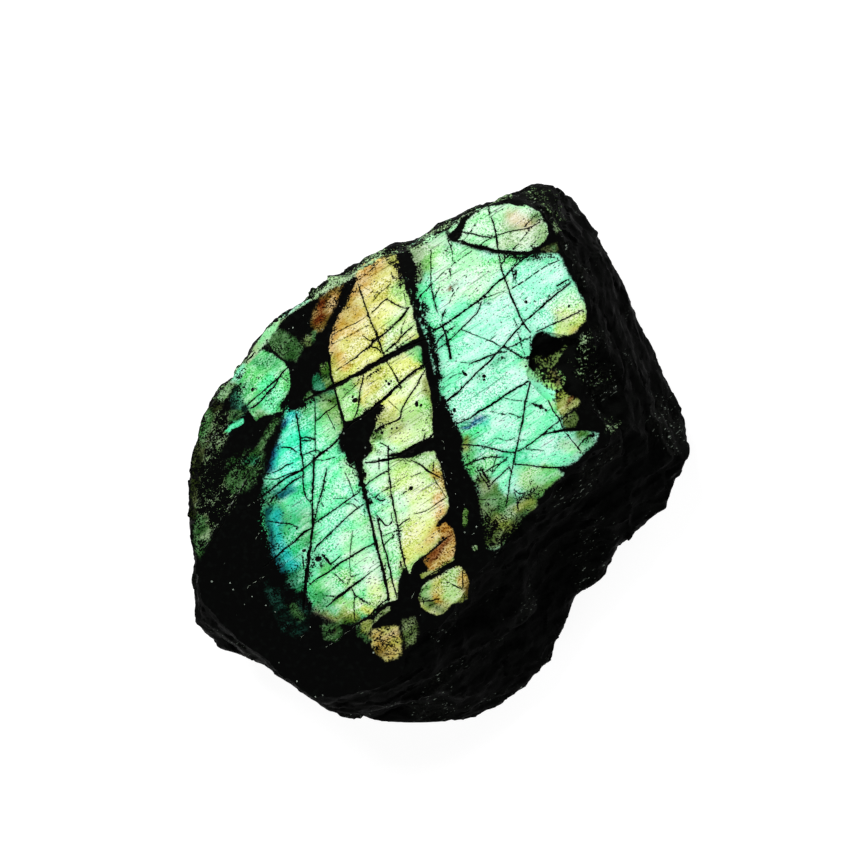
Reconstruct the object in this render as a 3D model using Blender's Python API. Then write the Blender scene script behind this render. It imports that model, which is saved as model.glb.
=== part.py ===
"""A rough labradorite chunk: one stone, broken on every side, with one domed face ground and
polished across its top, a second ground bevel along its left shoulder, and a flat cleavage
face that it lies on.

Lengths are millimetres until the last step, which turns them into metres. X runs to the
right and Y away from the reader, with the polished face up, along +Z. The origin is the
middle of the stone's box, at the level of the cleavage face that it rests on.
"""

import math

import bmesh
import bpy
from mathutils import Matrix, Vector
from mathutils.geometry import interpolate_bezier

MM = 0.001

# Driving dimensions.
STONE_WIDTH = 72.2  # along X, at the girdle
STONE_LENGTH = 78.2  # along Y, at the girdle
STONE_HEIGHT = 31.5  # cleavage face to the crown of the polished face
GIRDLE_HEIGHT = 11.0  # where the stone is widest, at its middle
GIRDLE_RISE = 4.0  # how much higher the girdle is at its highest end than at its middle
GIRDLE_RISES_TOWARDS = 140.0  # degrees from +X
RIM_HEIGHT = 29.6  # the rim of the polished face, where its breaks are measured
TOP_SHRINK = 0.975  # the outline above the girdle, beside the girdle's
FOOT_SHRINK = 0.88  # the outline at the cleavage face, before the underside is broken back
SPARE = 5.0  # how far the block stands past each ground face, so that grinding takes it off

# The outline at the girdle, as shares of half the width and half the length, anticlockwise
# from the top corner. The stone is a blunt kite: two long straight breaks on the upper left
# and the right, a bitten lower right side and a round foot.
OUTLINE = (
    (0.445, 1.035), (0.24, 0.945), (0.04, 0.85), (-0.19, 0.77), (-0.375, 0.67),
    (-0.54, 0.575), (-0.705, 0.45), (-0.865, 0.24), (-0.965, 0.085), (-0.995, -0.14),
    (-0.99, -0.3), (-0.98, -0.4), (-0.985, -0.53), (-0.975, -0.65), (-0.88, -0.742),
    (-0.725, -0.78), (-0.62, -0.85), (-0.48, -0.93), (-0.32, -0.985), (-0.12, -1.015),
    (0.06, -1.0), (0.27, -0.95), (0.37, -0.845), (0.45, -0.74), (0.515, -0.595),
    (0.57, -0.52), (0.665, -0.435), (0.715, -0.35), (0.82, -0.265), (0.915, -0.175),
    (0.93, -0.1), (0.975, 0.01), (1.005, 0.1), (0.97, 0.195), (0.895, 0.345),
    (0.8, 0.49), (0.725, 0.635), (0.64, 0.775), (0.56, 0.905), (0.53, 1.015),
)
OUTLINE_STEPS = 3  # straight pieces between two outline points

# Breaks above the girdle: (direction it faces in degrees from +X, distance from the axis
# at the rim of the polished face, steepness in degrees).
WALL_BREAKS = (
    (17.0, 25.4, 66.0),  # the long right wall
    (38.0, 32.0, 72.0),
    (-6.0, 25.0, 57.0),  # the right shoulder
    (-41.5, 15.4, 54.0),  # the broad lower right wall
    (-61.0, 24.0, 60.0),  # the foot
    (-84.0, 32.0, 66.0),
    (-128.0, 38.4, 76.0),
    (117.0, 28.0, 72.0),  # the strip under the upper left edge
    (76.0, 36.0, 68.0),  # the top corner
)
# Breaks below the girdle: (direction it faces, height at which it leaves the outline,
# steepness).
UNDER_BREAKS = (
    (27.0, 8.8, 50.0),
    (2.0, 8.0, 62.0),
    (-24.0, 8.0, 44.0),
    (-47.0, 7.0, 58.0),
    (-88.0, 8.5, 48.0),
    (-122.0, 11.5, 56.0),
    (-165.0, 12.0, 47.0),
    (163.0, 15.0, 58.0),
    (140.0, 12.5, 50.0),
    (112.0, 14.0, 52.0),
    (62.0, 10.5, 57.0),
)

# Ledges: stepped cleavage breaks, each the corner of a block cut out of the wall.
# (x, y, z of the step's inner edge, direction it faces, size across, size along, height)
LEDGES = (
    (23.5, -19.0, 8.5, -38.0, 14.0, 15.0, 20.0),
    (29.5, 1.0, 17.5, 5.0, 14.0, 19.0, 20.0),
    (5.0, -35.5, 14.0, -72.0, 12.0, 24.0, 20.0),
    (-14.0, 28.0, 13.5, 121.0, 12.0, 26.0, 9.0),
    (-37.2, -15.0, 8.0, 184.0, 10.0, 22.0, 11.0),
)
LEDGE_LEAN = 9.0  # degrees each ledge's floor falls outwards

# Scallops: shell-shaped chips, (x, y, z of the centre, radius).
SCALLOPS = (
    (16.9, 12.4, 34.7, 6.3),  # the bite in the polished face's right edge
    (25.5, 9.0, 30.5, 6.5),
    (41.7, 16.9, 20.5, 13.0),
    (25.2, -22.3, 25.4, 15.0),
    (-2.0, -48.4, 19.0, 14.0),
    (-47.5, -2.6, 15.0, 13.0),
    (-23.7, 36.1, 14.0, 15.0),
    (24.2, 45.6, 14.0, 12.0),
)

# The grinding: a shallow dome over the whole top, and a bevel down the left shoulder.
DOME_RADIUS = 250.0
DOME_APEX = (-3.0, 3.0)
DOME_REACH = 56.0  # how far out the ground dome is carried
DOME_RINGS = 14
DOME_SEGMENTS = 60
BEVEL_FACING = 152.0  # degrees from +X
BEVEL_DISTANCE = 20.6  # from the axis to the ridge between the two ground faces
BEVEL_STEEPNESS = 33.0

# The broken skin.
SKIN_VOXEL = 0.8
SKIN_TURN = (12.0, 24.0, 38.0)  # the cleavage's directions, in degrees about X, Y and Z
LUMPS = (  # (pattern, how far apart, how high)
    ("SWELLS", (15.0, 15.0, 15.0), 1.5),
    ("BLOCKS", (9.0, 16.0, 6.0), 1.3),
    ("BLOCKS", (4.0, 7.5, 3.0), 0.7),
    ("SWELLS", (3.6, 3.6, 3.6), 0.8),
)
SKIN_TRIANGLES = 7200

STONE_COLOUR = (0.018, 0.023, 0.021, 1.0)
STONE_ROUGHNESS = 0.45
SHARP_EDGE = 25.0  # degrees between two faces that are shaded apart


def clear_scene():
    for old in list(bpy.data.objects):
        bpy.data.objects.remove(old)


def add_object(name, bm):
    """An object made of this bmesh, with its faces pointing out."""
    bmesh.ops.recalc_face_normals(bm, faces=bm.faces)
    mesh = bpy.data.meshes.new(name)
    bm.to_mesh(mesh)
    bm.free()
    made = bpy.data.objects.new(name, mesh)
    bpy.context.collection.objects.link(made)
    return made


def outline_points():
    """The outline in millimetres, smoothed by a curve through its points."""
    corners = [Vector((x * STONE_WIDTH / 2, y * STONE_LENGTH / 2, 0)) for x, y in OUTLINE]
    count = len(corners)
    smooth = []
    for i, here in enumerate(corners):
        after = corners[(i + 1) % count]
        leave = here + (after - corners[i - 1]) / 6
        arrive = after - (corners[(i + 2) % count] - here) / 6
        smooth += interpolate_bezier(here, leave, arrive, after, OUTLINE_STEPS + 1)[:-1]
    return smooth


def facing(degrees):
    angle = math.radians(degrees)
    return Vector((math.cos(angle), math.sin(angle), 0))


def break_off(bm, point, outward):
    """Removes what lies beyond a plane, and closes the stone there."""
    everything = bm.verts[:] + bm.edges[:] + bm.faces[:]
    cut = bmesh.ops.bisect_plane(
        bm, geom=everything, plane_co=point, plane_no=outward, clear_outer=True
    )
    rim = [e for e in cut["geom_cut"] if isinstance(e, bmesh.types.BMEdge)]
    if rim:
        bmesh.ops.edgenet_fill(bm, edges=rim)


def block():
    """The stone before it is weathered and ground: the outline in three levels, with its
    walls and underside broken along planes."""
    bm = bmesh.new()
    foot = bm.faces.new([bm.verts.new(p) for p in outline_points()])
    level = bmesh.ops.extrude_face_region(bm, geom=[foot])["geom"]
    girdle = [v for v in level if isinstance(v, bmesh.types.BMVert)]
    girdle_face = [f for f in level if isinstance(f, bmesh.types.BMFace)]
    level = bmesh.ops.extrude_face_region(bm, geom=girdle_face)["geom"]
    top = [v for v in level if isinstance(v, bmesh.types.BMVert)]
    bmesh.ops.delete(bm, geom=girdle_face, context="FACES_ONLY")
    for v in foot.verts:
        v.co = Vector((v.co.x * FOOT_SHRINK, v.co.y * FOOT_SHRINK, -SPARE))
    rise = facing(GIRDLE_RISES_TOWARDS) * GIRDLE_RISE / (STONE_LENGTH / 2)
    for v in girdle:
        v.co.z = GIRDLE_HEIGHT + v.co.dot(rise)
    for v in top:
        v.co = Vector((v.co.x * TOP_SHRINK, v.co.y * TOP_SHRINK, STONE_HEIGHT + SPARE))
    for direction, distance, steepness in WALL_BREAKS:
        lean = math.radians(steepness)
        outward = facing(direction) * math.sin(lean) + Vector((0, 0, math.cos(lean)))
        break_off(bm, facing(direction) * distance + Vector((0, 0, RIM_HEIGHT)), outward)
    for direction, height, steepness in UNDER_BREAKS:
        lean = math.radians(steepness)
        outward = facing(direction) * math.sin(lean) - Vector((0, 0, math.cos(lean)))
        distance = max(p.dot(facing(direction)) for p in outline_points())
        break_off(bm, facing(direction) * distance + Vector((0, 0, height)), outward)
    bmesh.ops.triangulate(bm, faces=bm.faces)
    return add_object("block", bm)


def ledge_cutter():
    """One cutter for all the ledges."""
    bm = bmesh.new()
    for x, y, z, direction, across, along, height in LEDGES:
        turn = Matrix.Rotation(math.radians(direction), 4, "Z")
        lean = Matrix.Rotation(math.radians(LEDGE_LEAN), 4, "Y")
        on_edge = Matrix.Translation((across / 2, 0, height / 2))
        size = Matrix.Diagonal((across, along, height, 1))
        place = Matrix.Translation((x, y, z)) @ turn @ lean @ on_edge @ size
        bmesh.ops.create_cube(bm, size=1, matrix=place)
    return add_object("ledges", bm)


def scallop_cutter():
    """One cutter for all the shell-shaped chips."""
    bm = bmesh.new()
    for x, y, z, radius in SCALLOPS:
        place = Matrix.Translation((x, y, z))
        bmesh.ops.create_icosphere(bm, subdivisions=3, radius=radius, matrix=place)
    return add_object("scallops", bm)


def grinding_envelope():
    """All the space that grinding leaves: under the dome and the bevel, and above the
    cleavage face."""
    bm = bmesh.new()
    rings = []
    for ring in range(1, DOME_RINGS + 1):
        reach = DOME_REACH * ring / DOME_RINGS
        drop = DOME_RADIUS - math.sqrt(DOME_RADIUS**2 - reach**2)
        points = [facing(360 * i / DOME_SEGMENTS) * reach for i in range(DOME_SEGMENTS)]
        rings.append([bm.verts.new((p.x, p.y, STONE_HEIGHT - drop)) for p in points])
    crown = bm.verts.new((0, 0, STONE_HEIGHT))
    for i in range(DOME_SEGMENTS):
        after = (i + 1) % DOME_SEGMENTS
        bm.faces.new((crown, rings[0][i], rings[0][after]))
        for inner, outer in zip(rings, rings[1:]):
            bm.faces.new((inner[i], outer[i], outer[after], inner[after]))
    rim = [e for e in bm.edges if e.is_boundary]
    skirt = bmesh.ops.extrude_edge_only(bm, edges=rim)["geom"]
    for v in [part for part in skirt if isinstance(part, bmesh.types.BMVert)]:
        v.co.z = 0
    bmesh.ops.edgenet_fill(bm, edges=[e for e in bm.edges if e.is_boundary])
    bmesh.ops.translate(bm, verts=bm.verts, vec=(*DOME_APEX, 0))
    lean = math.radians(BEVEL_STEEPNESS)
    outward = facing(BEVEL_FACING) * math.sin(lean) + Vector((0, 0, math.cos(lean)))
    ridge = facing(BEVEL_FACING) * BEVEL_DISTANCE
    drop = (ridge.xy - Vector(DOME_APEX)).length_squared / (2 * DOME_RADIUS)
    break_off(bm, ridge + Vector((0, 0, STONE_HEIGHT - drop)), outward)
    return add_object("grinding_envelope", bm)


def add_boolean(stone, cutter, operation):
    modifier = stone.modifiers.new(cutter.name, "BOOLEAN")
    modifier.operation = operation
    modifier.object = cutter
    modifier.use_self = operation == "DIFFERENCE"


def add_remesh(stone, voxel):
    modifier = stone.modifiers.new("even_skin", "REMESH")
    modifier.mode = "VOXEL"
    modifier.voxel_size = voxel


def add_lumps(stone):
    """Lumps and hollows of the broken skin, largest first. Swells are soft, and blocks step
    along the cleavage."""
    for number, (pattern, spacing, height) in enumerate(LUMPS):
        texture = bpy.data.textures.new(f"lumps_{number}", "CLOUDS")
        texture.noise_scale = 1.0
        texture.noise_depth = 1
        texture.noise_basis = "CELL_NOISE" if pattern == "BLOCKS" else "ORIGINAL_PERLIN"
        grain = bpy.data.objects.new(f"grain_{number}", None)
        bpy.context.collection.objects.link(grain)
        grain.rotation_euler = [math.radians(turn) for turn in SKIN_TURN]
        grain.scale = spacing
        modifier = stone.modifiers.new(texture.name, "DISPLACE")
        modifier.texture = texture
        modifier.texture_coords = "OBJECT"
        modifier.texture_coords_object = grain
        modifier.strength = height
        modifier.mid_level = 0.5


def add_decimate(stone, triangles):
    """Spends the triangles where the skin bends, and few where it is flat."""
    graph = bpy.context.evaluated_depsgraph_get()
    faces = stone.evaluated_get(graph).data.polygons
    now = sum(len(face.vertices) - 2 for face in faces)
    modifier = stone.modifiers.new("thin_out", "DECIMATE")
    modifier.ratio = min(1.0, triangles / now)


def apply_modifiers(stone):
    """Applies the stone's modifiers, and removes the cutters and empties that they used."""
    graph = bpy.context.evaluated_depsgraph_get()
    mesh = bpy.data.meshes.new_from_object(stone.evaluated_get(graph))
    stone.modifiers.clear()
    stone.data = mesh
    for helper in [other for other in bpy.data.objects if other != stone]:
        bpy.data.objects.remove(helper)


def centre_on_base(stone):
    """Turns millimetres into metres, with the origin under the middle of the stone's box."""
    corners = [Vector(c) for c in stone.bound_box]
    low = Vector([min(c[i] for c in corners) for i in range(3)])
    high = Vector([max(c[i] for c in corners) for i in range(3)])
    middle = (low + high) / 2
    stone.data.transform(Matrix.Scale(MM, 4) @ Matrix.Translation((-middle.x, -middle.y, -low.z)))


def stone_material():
    material = bpy.data.materials.new("labradorite")
    material.use_nodes = True
    surface = material.node_tree.nodes["Principled BSDF"]
    surface.inputs["Base Color"].default_value = STONE_COLOUR
    surface.inputs["Roughness"].default_value = STONE_ROUGHNESS
    surface.inputs["Metallic"].default_value = 0.0
    return material


def make_stone():
    stone = block()
    stone.name = "labradorite_chunk"
    add_boolean(stone, ledge_cutter(), "DIFFERENCE")
    add_boolean(stone, scallop_cutter(), "DIFFERENCE")
    add_remesh(stone, SKIN_VOXEL)
    add_lumps(stone)
    apply_modifiers(stone)
    add_decimate(stone, SKIN_TRIANGLES)
    add_boolean(stone, grinding_envelope(), "INTERSECT")
    apply_modifiers(stone)
    stone.data.materials.clear()
    stone.data.materials.append(stone_material())
    stone.data.shade_smooth()
    stone.data.set_sharp_from_angle(angle=math.radians(SHARP_EDGE))
    centre_on_base(stone)


clear_scene()
make_stone()
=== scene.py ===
"""The looks of the rough labradorite chunk: one dark broken stone, with a polished dome and a
ground shoulder bevel that flash blue, green and gold between black cracks.

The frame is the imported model's, in metres. The drawn lists are in plan millimetres: how far right
and how far up a point lies, seen from straight above the middle of the stone.
"""

import math

import bmesh
import bpy
import numpy as np
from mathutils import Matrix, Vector, noise


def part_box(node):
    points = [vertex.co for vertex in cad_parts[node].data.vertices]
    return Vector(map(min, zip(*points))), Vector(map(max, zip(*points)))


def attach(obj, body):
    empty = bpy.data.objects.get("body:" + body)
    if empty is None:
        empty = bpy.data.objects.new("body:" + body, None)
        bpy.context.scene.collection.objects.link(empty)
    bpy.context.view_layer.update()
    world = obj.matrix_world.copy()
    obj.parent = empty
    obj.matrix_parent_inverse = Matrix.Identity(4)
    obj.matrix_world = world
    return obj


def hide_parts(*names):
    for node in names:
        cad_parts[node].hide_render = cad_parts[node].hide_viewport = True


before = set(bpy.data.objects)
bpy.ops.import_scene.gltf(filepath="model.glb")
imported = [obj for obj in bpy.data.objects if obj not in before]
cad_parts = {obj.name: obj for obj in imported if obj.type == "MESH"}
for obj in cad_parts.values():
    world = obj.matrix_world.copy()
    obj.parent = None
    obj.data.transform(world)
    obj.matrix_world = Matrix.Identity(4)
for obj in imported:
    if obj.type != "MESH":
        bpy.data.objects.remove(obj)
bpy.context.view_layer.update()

MM = 0.001
NODE = "labradorite_chunk"
SEED = 11
TINY = 1e-9  # keeps a division from failing where a length is nothing
SKIN, POLISH, CRACK, SCRATCH = 0, 1, 2, 3  # the stone's material slots

# The ground faces.
CROWN_HEIGHT = 31.5 * MM
DOME_RADIUS = 250 * MM
DOME_APEX = Vector((-2.691, 3.166)) * MM
DOME_CENTRE = Vector((*DOME_APEX, CROWN_HEIGHT - DOME_RADIUS))
BEVEL_FACING = math.radians(152)
BEVEL_STEEPNESS = math.radians(33)
BEVEL_OUTWARD = Vector((
    math.cos(BEVEL_FACING) * math.sin(BEVEL_STEEPNESS),
    math.sin(BEVEL_FACING) * math.sin(BEVEL_STEEPNESS),
    math.cos(BEVEL_STEEPNESS),
))
BEVEL_DISTANCE = 37.070 * MM  # from the origin to the bevel's plane
GROUND_CELL = 0.39 * MM  # spacing of the points on the ground faces
OVERSIZE = 4 * MM  # how far the grinding envelope reaches past the stone
BUILD_UP = 3 * MM  # rough stone left past the ground faces and the base, then ground off
ON_GROUND = 0.05 * MM  # as near to the dome or the bevel as their points lie
ON_BASE = 0.01 * MM
SAME_PLACE = 0.001 * MM
FACING_UP = 0.5  # the least upward share of a ground face's normal

# The broken skin.
SKIN_VOXEL = 0.46 * MM
SMOOTH_UP_TO = math.radians(24)
BOX_GAP = 0.02 * MM  # kept between the skin and the sides of the stone's box
EASING = 0.35 * MM

# Its relief, largest first: the size of the lumps and their height in mm, how they are turned, and
# the settings of their pattern.
CLEAVED = {"noise_basis": "CELL_NOISE", "noise_depth": 0}
RELIEF = {
    "swells": ((6, 6, 6), 0.3, (0, 0, 0), {"noise_depth": 1}),
    "cleavage steps": ((7.5, 2.6, 3.4), 0.42, (0.3, 0.5, 0.62), CLEAVED),
    "cross cleavage": ((2.2, 1.3, 4.0), 0.24, (0.9, 0.2, 0.45), CLEAVED),
    "hackles": ((1.7, 1.7, 1.7), 0.26, (0, 0, 0), {"noise_depth": 2}),
    "grit": ((0.8, 0.8, 0.8), 0.12, (0, 0, 0), {"noise_depth": 0}),
}

# Where the sides are drawn out or pushed in: the place, its reach and how far outwards, in mm.
DRAWN_OUT = (
    (35.1, 4.8, 4.0, 0.7), (33.6, 8.5, 3.5, 0.4), (17.3, 38.0, 4.0, 0.8), (6.3, 36.1, 3.5, -0.5),
    (-3.4, 31.3, 5.0, -0.9), (-13.3, 27.0, 3.0, -0.6), (-17.0, 24.9, 3.0, 0.6), (-36.2, -1.5, 4.0, 0.9),
    (-35.0, -22.6, 4.5, -0.8), (-30.8, -28.0, 4.5, -0.5), (-2.5, -39.0, 5.0, 1.1), (14.8, -30.7, 2.5, 0.7),
    (16.3, -28.0, 2.5, -0.5), (28.6, 19.5, 7.0, -0.4), (34.2, -4.0, 4.0, -0.4),
)

# The cracks.
CRACK_STEP = 0.5  # mm between the corners of a groove
FEWEST_CORNERS = 3
CURVE_PARTS = 8  # straight parts that stand for the curve between two points of a path
WANDER = 0.08  # mm that a groove strays from its line
RAGGEDNESS = 0.32  # share by which its width varies
SWELLS = (0.32, 0.80)  # share of its width that it keeps over longer stretches
SWELL_LENGTH = 3  # mm
TAPER = 0.9  # mm over which its ends close
END_WIDTH = 0.25  # share of its width that is left at its ends
DASH = (0.35, 1.0)  # mm, the lengths of the parts of a broken crack
DASH_GAP = (0.15, 0.4)
FAINT = 0.7  # share of its width that a faint crack keeps
GROOVE_PROFILE = ((-0.5, 0.0), (0.0, -1.1), (0.5, 0.0), (0.5, 1.6), (-0.5, 1.6))  # for 1 mm of width

# The pits, each cut by a cone that stands on its point.
PIT_CORNERS = 7
PIT_DEPTH = 0.9  # for 1 mm of radius
PUNCH_POINT = 0.05  # the cone's two radii, for 1 mm of the pit's
PUNCH_TOP = 2.2
PUNCH_HEIGHT = 2.2  # for 1 mm of depth
PUNCH_LIFT = 0.1  # how far its middle is above the ground face, for 1 mm of depth
PUNCH_TURN = (0, 6.3)  # radians
PUNCH_LENGTH = (0.75, 1.3)  # how far it is drawn out of round
PUNCH_BREADTH = (0.6, 1.1)

# How the drawing is laid on the stone, in mm.
OUT_OF_REACH = 3.0  # as far as it looks around a point
STROKE_STRAY = ((3.0, 0.9), (0.9, 0.5))  # the size of each wander of a stroke, and how far it goes
EDGE_STRAY = (1.3, 0.22)
WALL_STRAY = 2.6  # the size of an edge's wander on the sides below the rim
WALL_STRAY_PER_MM = 0.4  # how far that goes for each mm below the rim
WALL_STRAY_DEPTH = 6  # where it stops growing
STROKE_SPREAD = 1.25  # how far past its radius a stroke fades out, for 1 mm of radius
STROKE_FALL = 1.5  # the power by which it fades
PLAIN_SOFTNESS = 0.2
WALL_SHARE = 0.28  # where a groove's wall starts, for 1 mm of its width
WIDE_CRACK = 0.25  # beside cracks wider than this the flash dims further off
THIN_CRACK_REACH = 0.45

# The materials.
LAMELLAE = math.radians(33)  # the way the fine streaks run
POLISHING = math.radians(-24)  # the way the polishing scratches run
NOISE_MIDDLE = 0.5
PITCH = (0.0004, 0.0005, 0.0004, 1)
COAL = (0.0014, 0.0020, 0.0016, 1)
PALE_DUST = (0.30, 0.36, 0.30, 1)
CHARCOAL = (0.0007, 0.0008, 0.0007, 1)
ASH = (0.0026, 0.0029, 0.0026, 1)
WEATHERED = (0.016, 0.018, 0.014, 1)
# A painted highlight: the pale colour of the glints painted on the broken skin.
PAINTED_GLINT = (0.20, 0.24, 0.20, 1)
CRACK_BLACK = (0.0012, 0.0012, 0.0012, 1)
CRACK_DUST = (0.006, 0.006, 0.004, 1)
SCRATCH_BLACK = (0.010, 0.014, 0.010, 1)
CRUSHED = (0.36, 0.42, 0.34, 1)
TABLE_GREY = (0.22, 0.22, 0.22, 1)
WHITE = (1, 1, 1, 1)

# The floor, the lamps and the camera, in metres.
FLOOR_SIZE = 3
FLOOR_GLOW = 0.92
LAMP_DISTANCE = 0.9
LAMPS = {
    # name: bearing and height angle in degrees, size, watts
    "key light": (125, 55, 0.35, 7.5),
    "left fill": (235, 40, 0.5, 1.6),
    "right fill": (60, 42, 0.5, 1.6),
    "front fill": (325, 40, 0.5, 0.8),
}
STUDIO_LIGHT = 0.04
CAMERA_PLACE = (-1.10 * MM, 2.99 * MM, 708.6 * MM)
CAMERA_LENS = 200
CAMERA_SENSOR = 36

# The colours that the stone flashes, and those of its crust.
FLASH = {
    "lagoon": (0.009, 0.175, 0.195),
    "pine": (0.004, 0.033, 0.021),
    "moss": (0.053, 0.074, 0.022),
    "fern": (0.07, 0.191, 0.058),
    "jade": (0.038, 0.283, 0.138),
    "olive": (0.127, 0.283, 0.056),
    "bronze": (0.258, 0.184, 0.041),
    "sage": (0.22, 0.319, 0.117),
    "patina": (0.175, 0.407, 0.159),
    "amber": (0.552, 0.314, 0.061),
    "emerald": (0.138, 0.578, 0.238),
    "khaki": (0.371, 0.456, 0.122),
    "lichen": (0.323, 0.479, 0.25),
    "gold": (0.672, 0.497, 0.127),
    "leaf": (0.356, 0.651, 0.254),
    "sea": (0.133, 0.815, 0.44),
    "green": (0.266, 0.799, 0.332),
    "lime": (0.571, 0.651, 0.223),
    "mint": (0.238, 0.947, 0.515),
    "leaf mint": (0.44, 0.839, 0.347),
    "straw": (0.73, 0.73, 0.238),
    "pebble": (0.515, 0.73, 0.429),
    "aqua": (0.323, 0.956, 0.617),
    "pale mint": (0.451, 0.939, 0.521),
    "pale lime": (0.617, 0.871, 0.418),
    "lemon": (0.815, 0.88, 0.323),
    "cream": (0.761, 0.947, 0.44),
    "ice": (0.451, 0.991, 0.738),
    "pearl": (0.591, 0.973, 0.631),
    "rust": (0.216, 0.061, 0.01),
    "deep": (0.002, 0.01, 0.054),
    "cobalt": (0.004, 0.076, 0.216),
    "ochre": (0.181, 0.162, 0.089),
    "turquoise": (0.061, 0.672, 0.604),
    "tan": (0.73, 0.503, 0.188),
    "apricot": (0.807, 0.631, 0.262),
    "sand": (0.687, 0.617, 0.381),
    "bright teal": (0.089, 0.905, 0.578),
}

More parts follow.
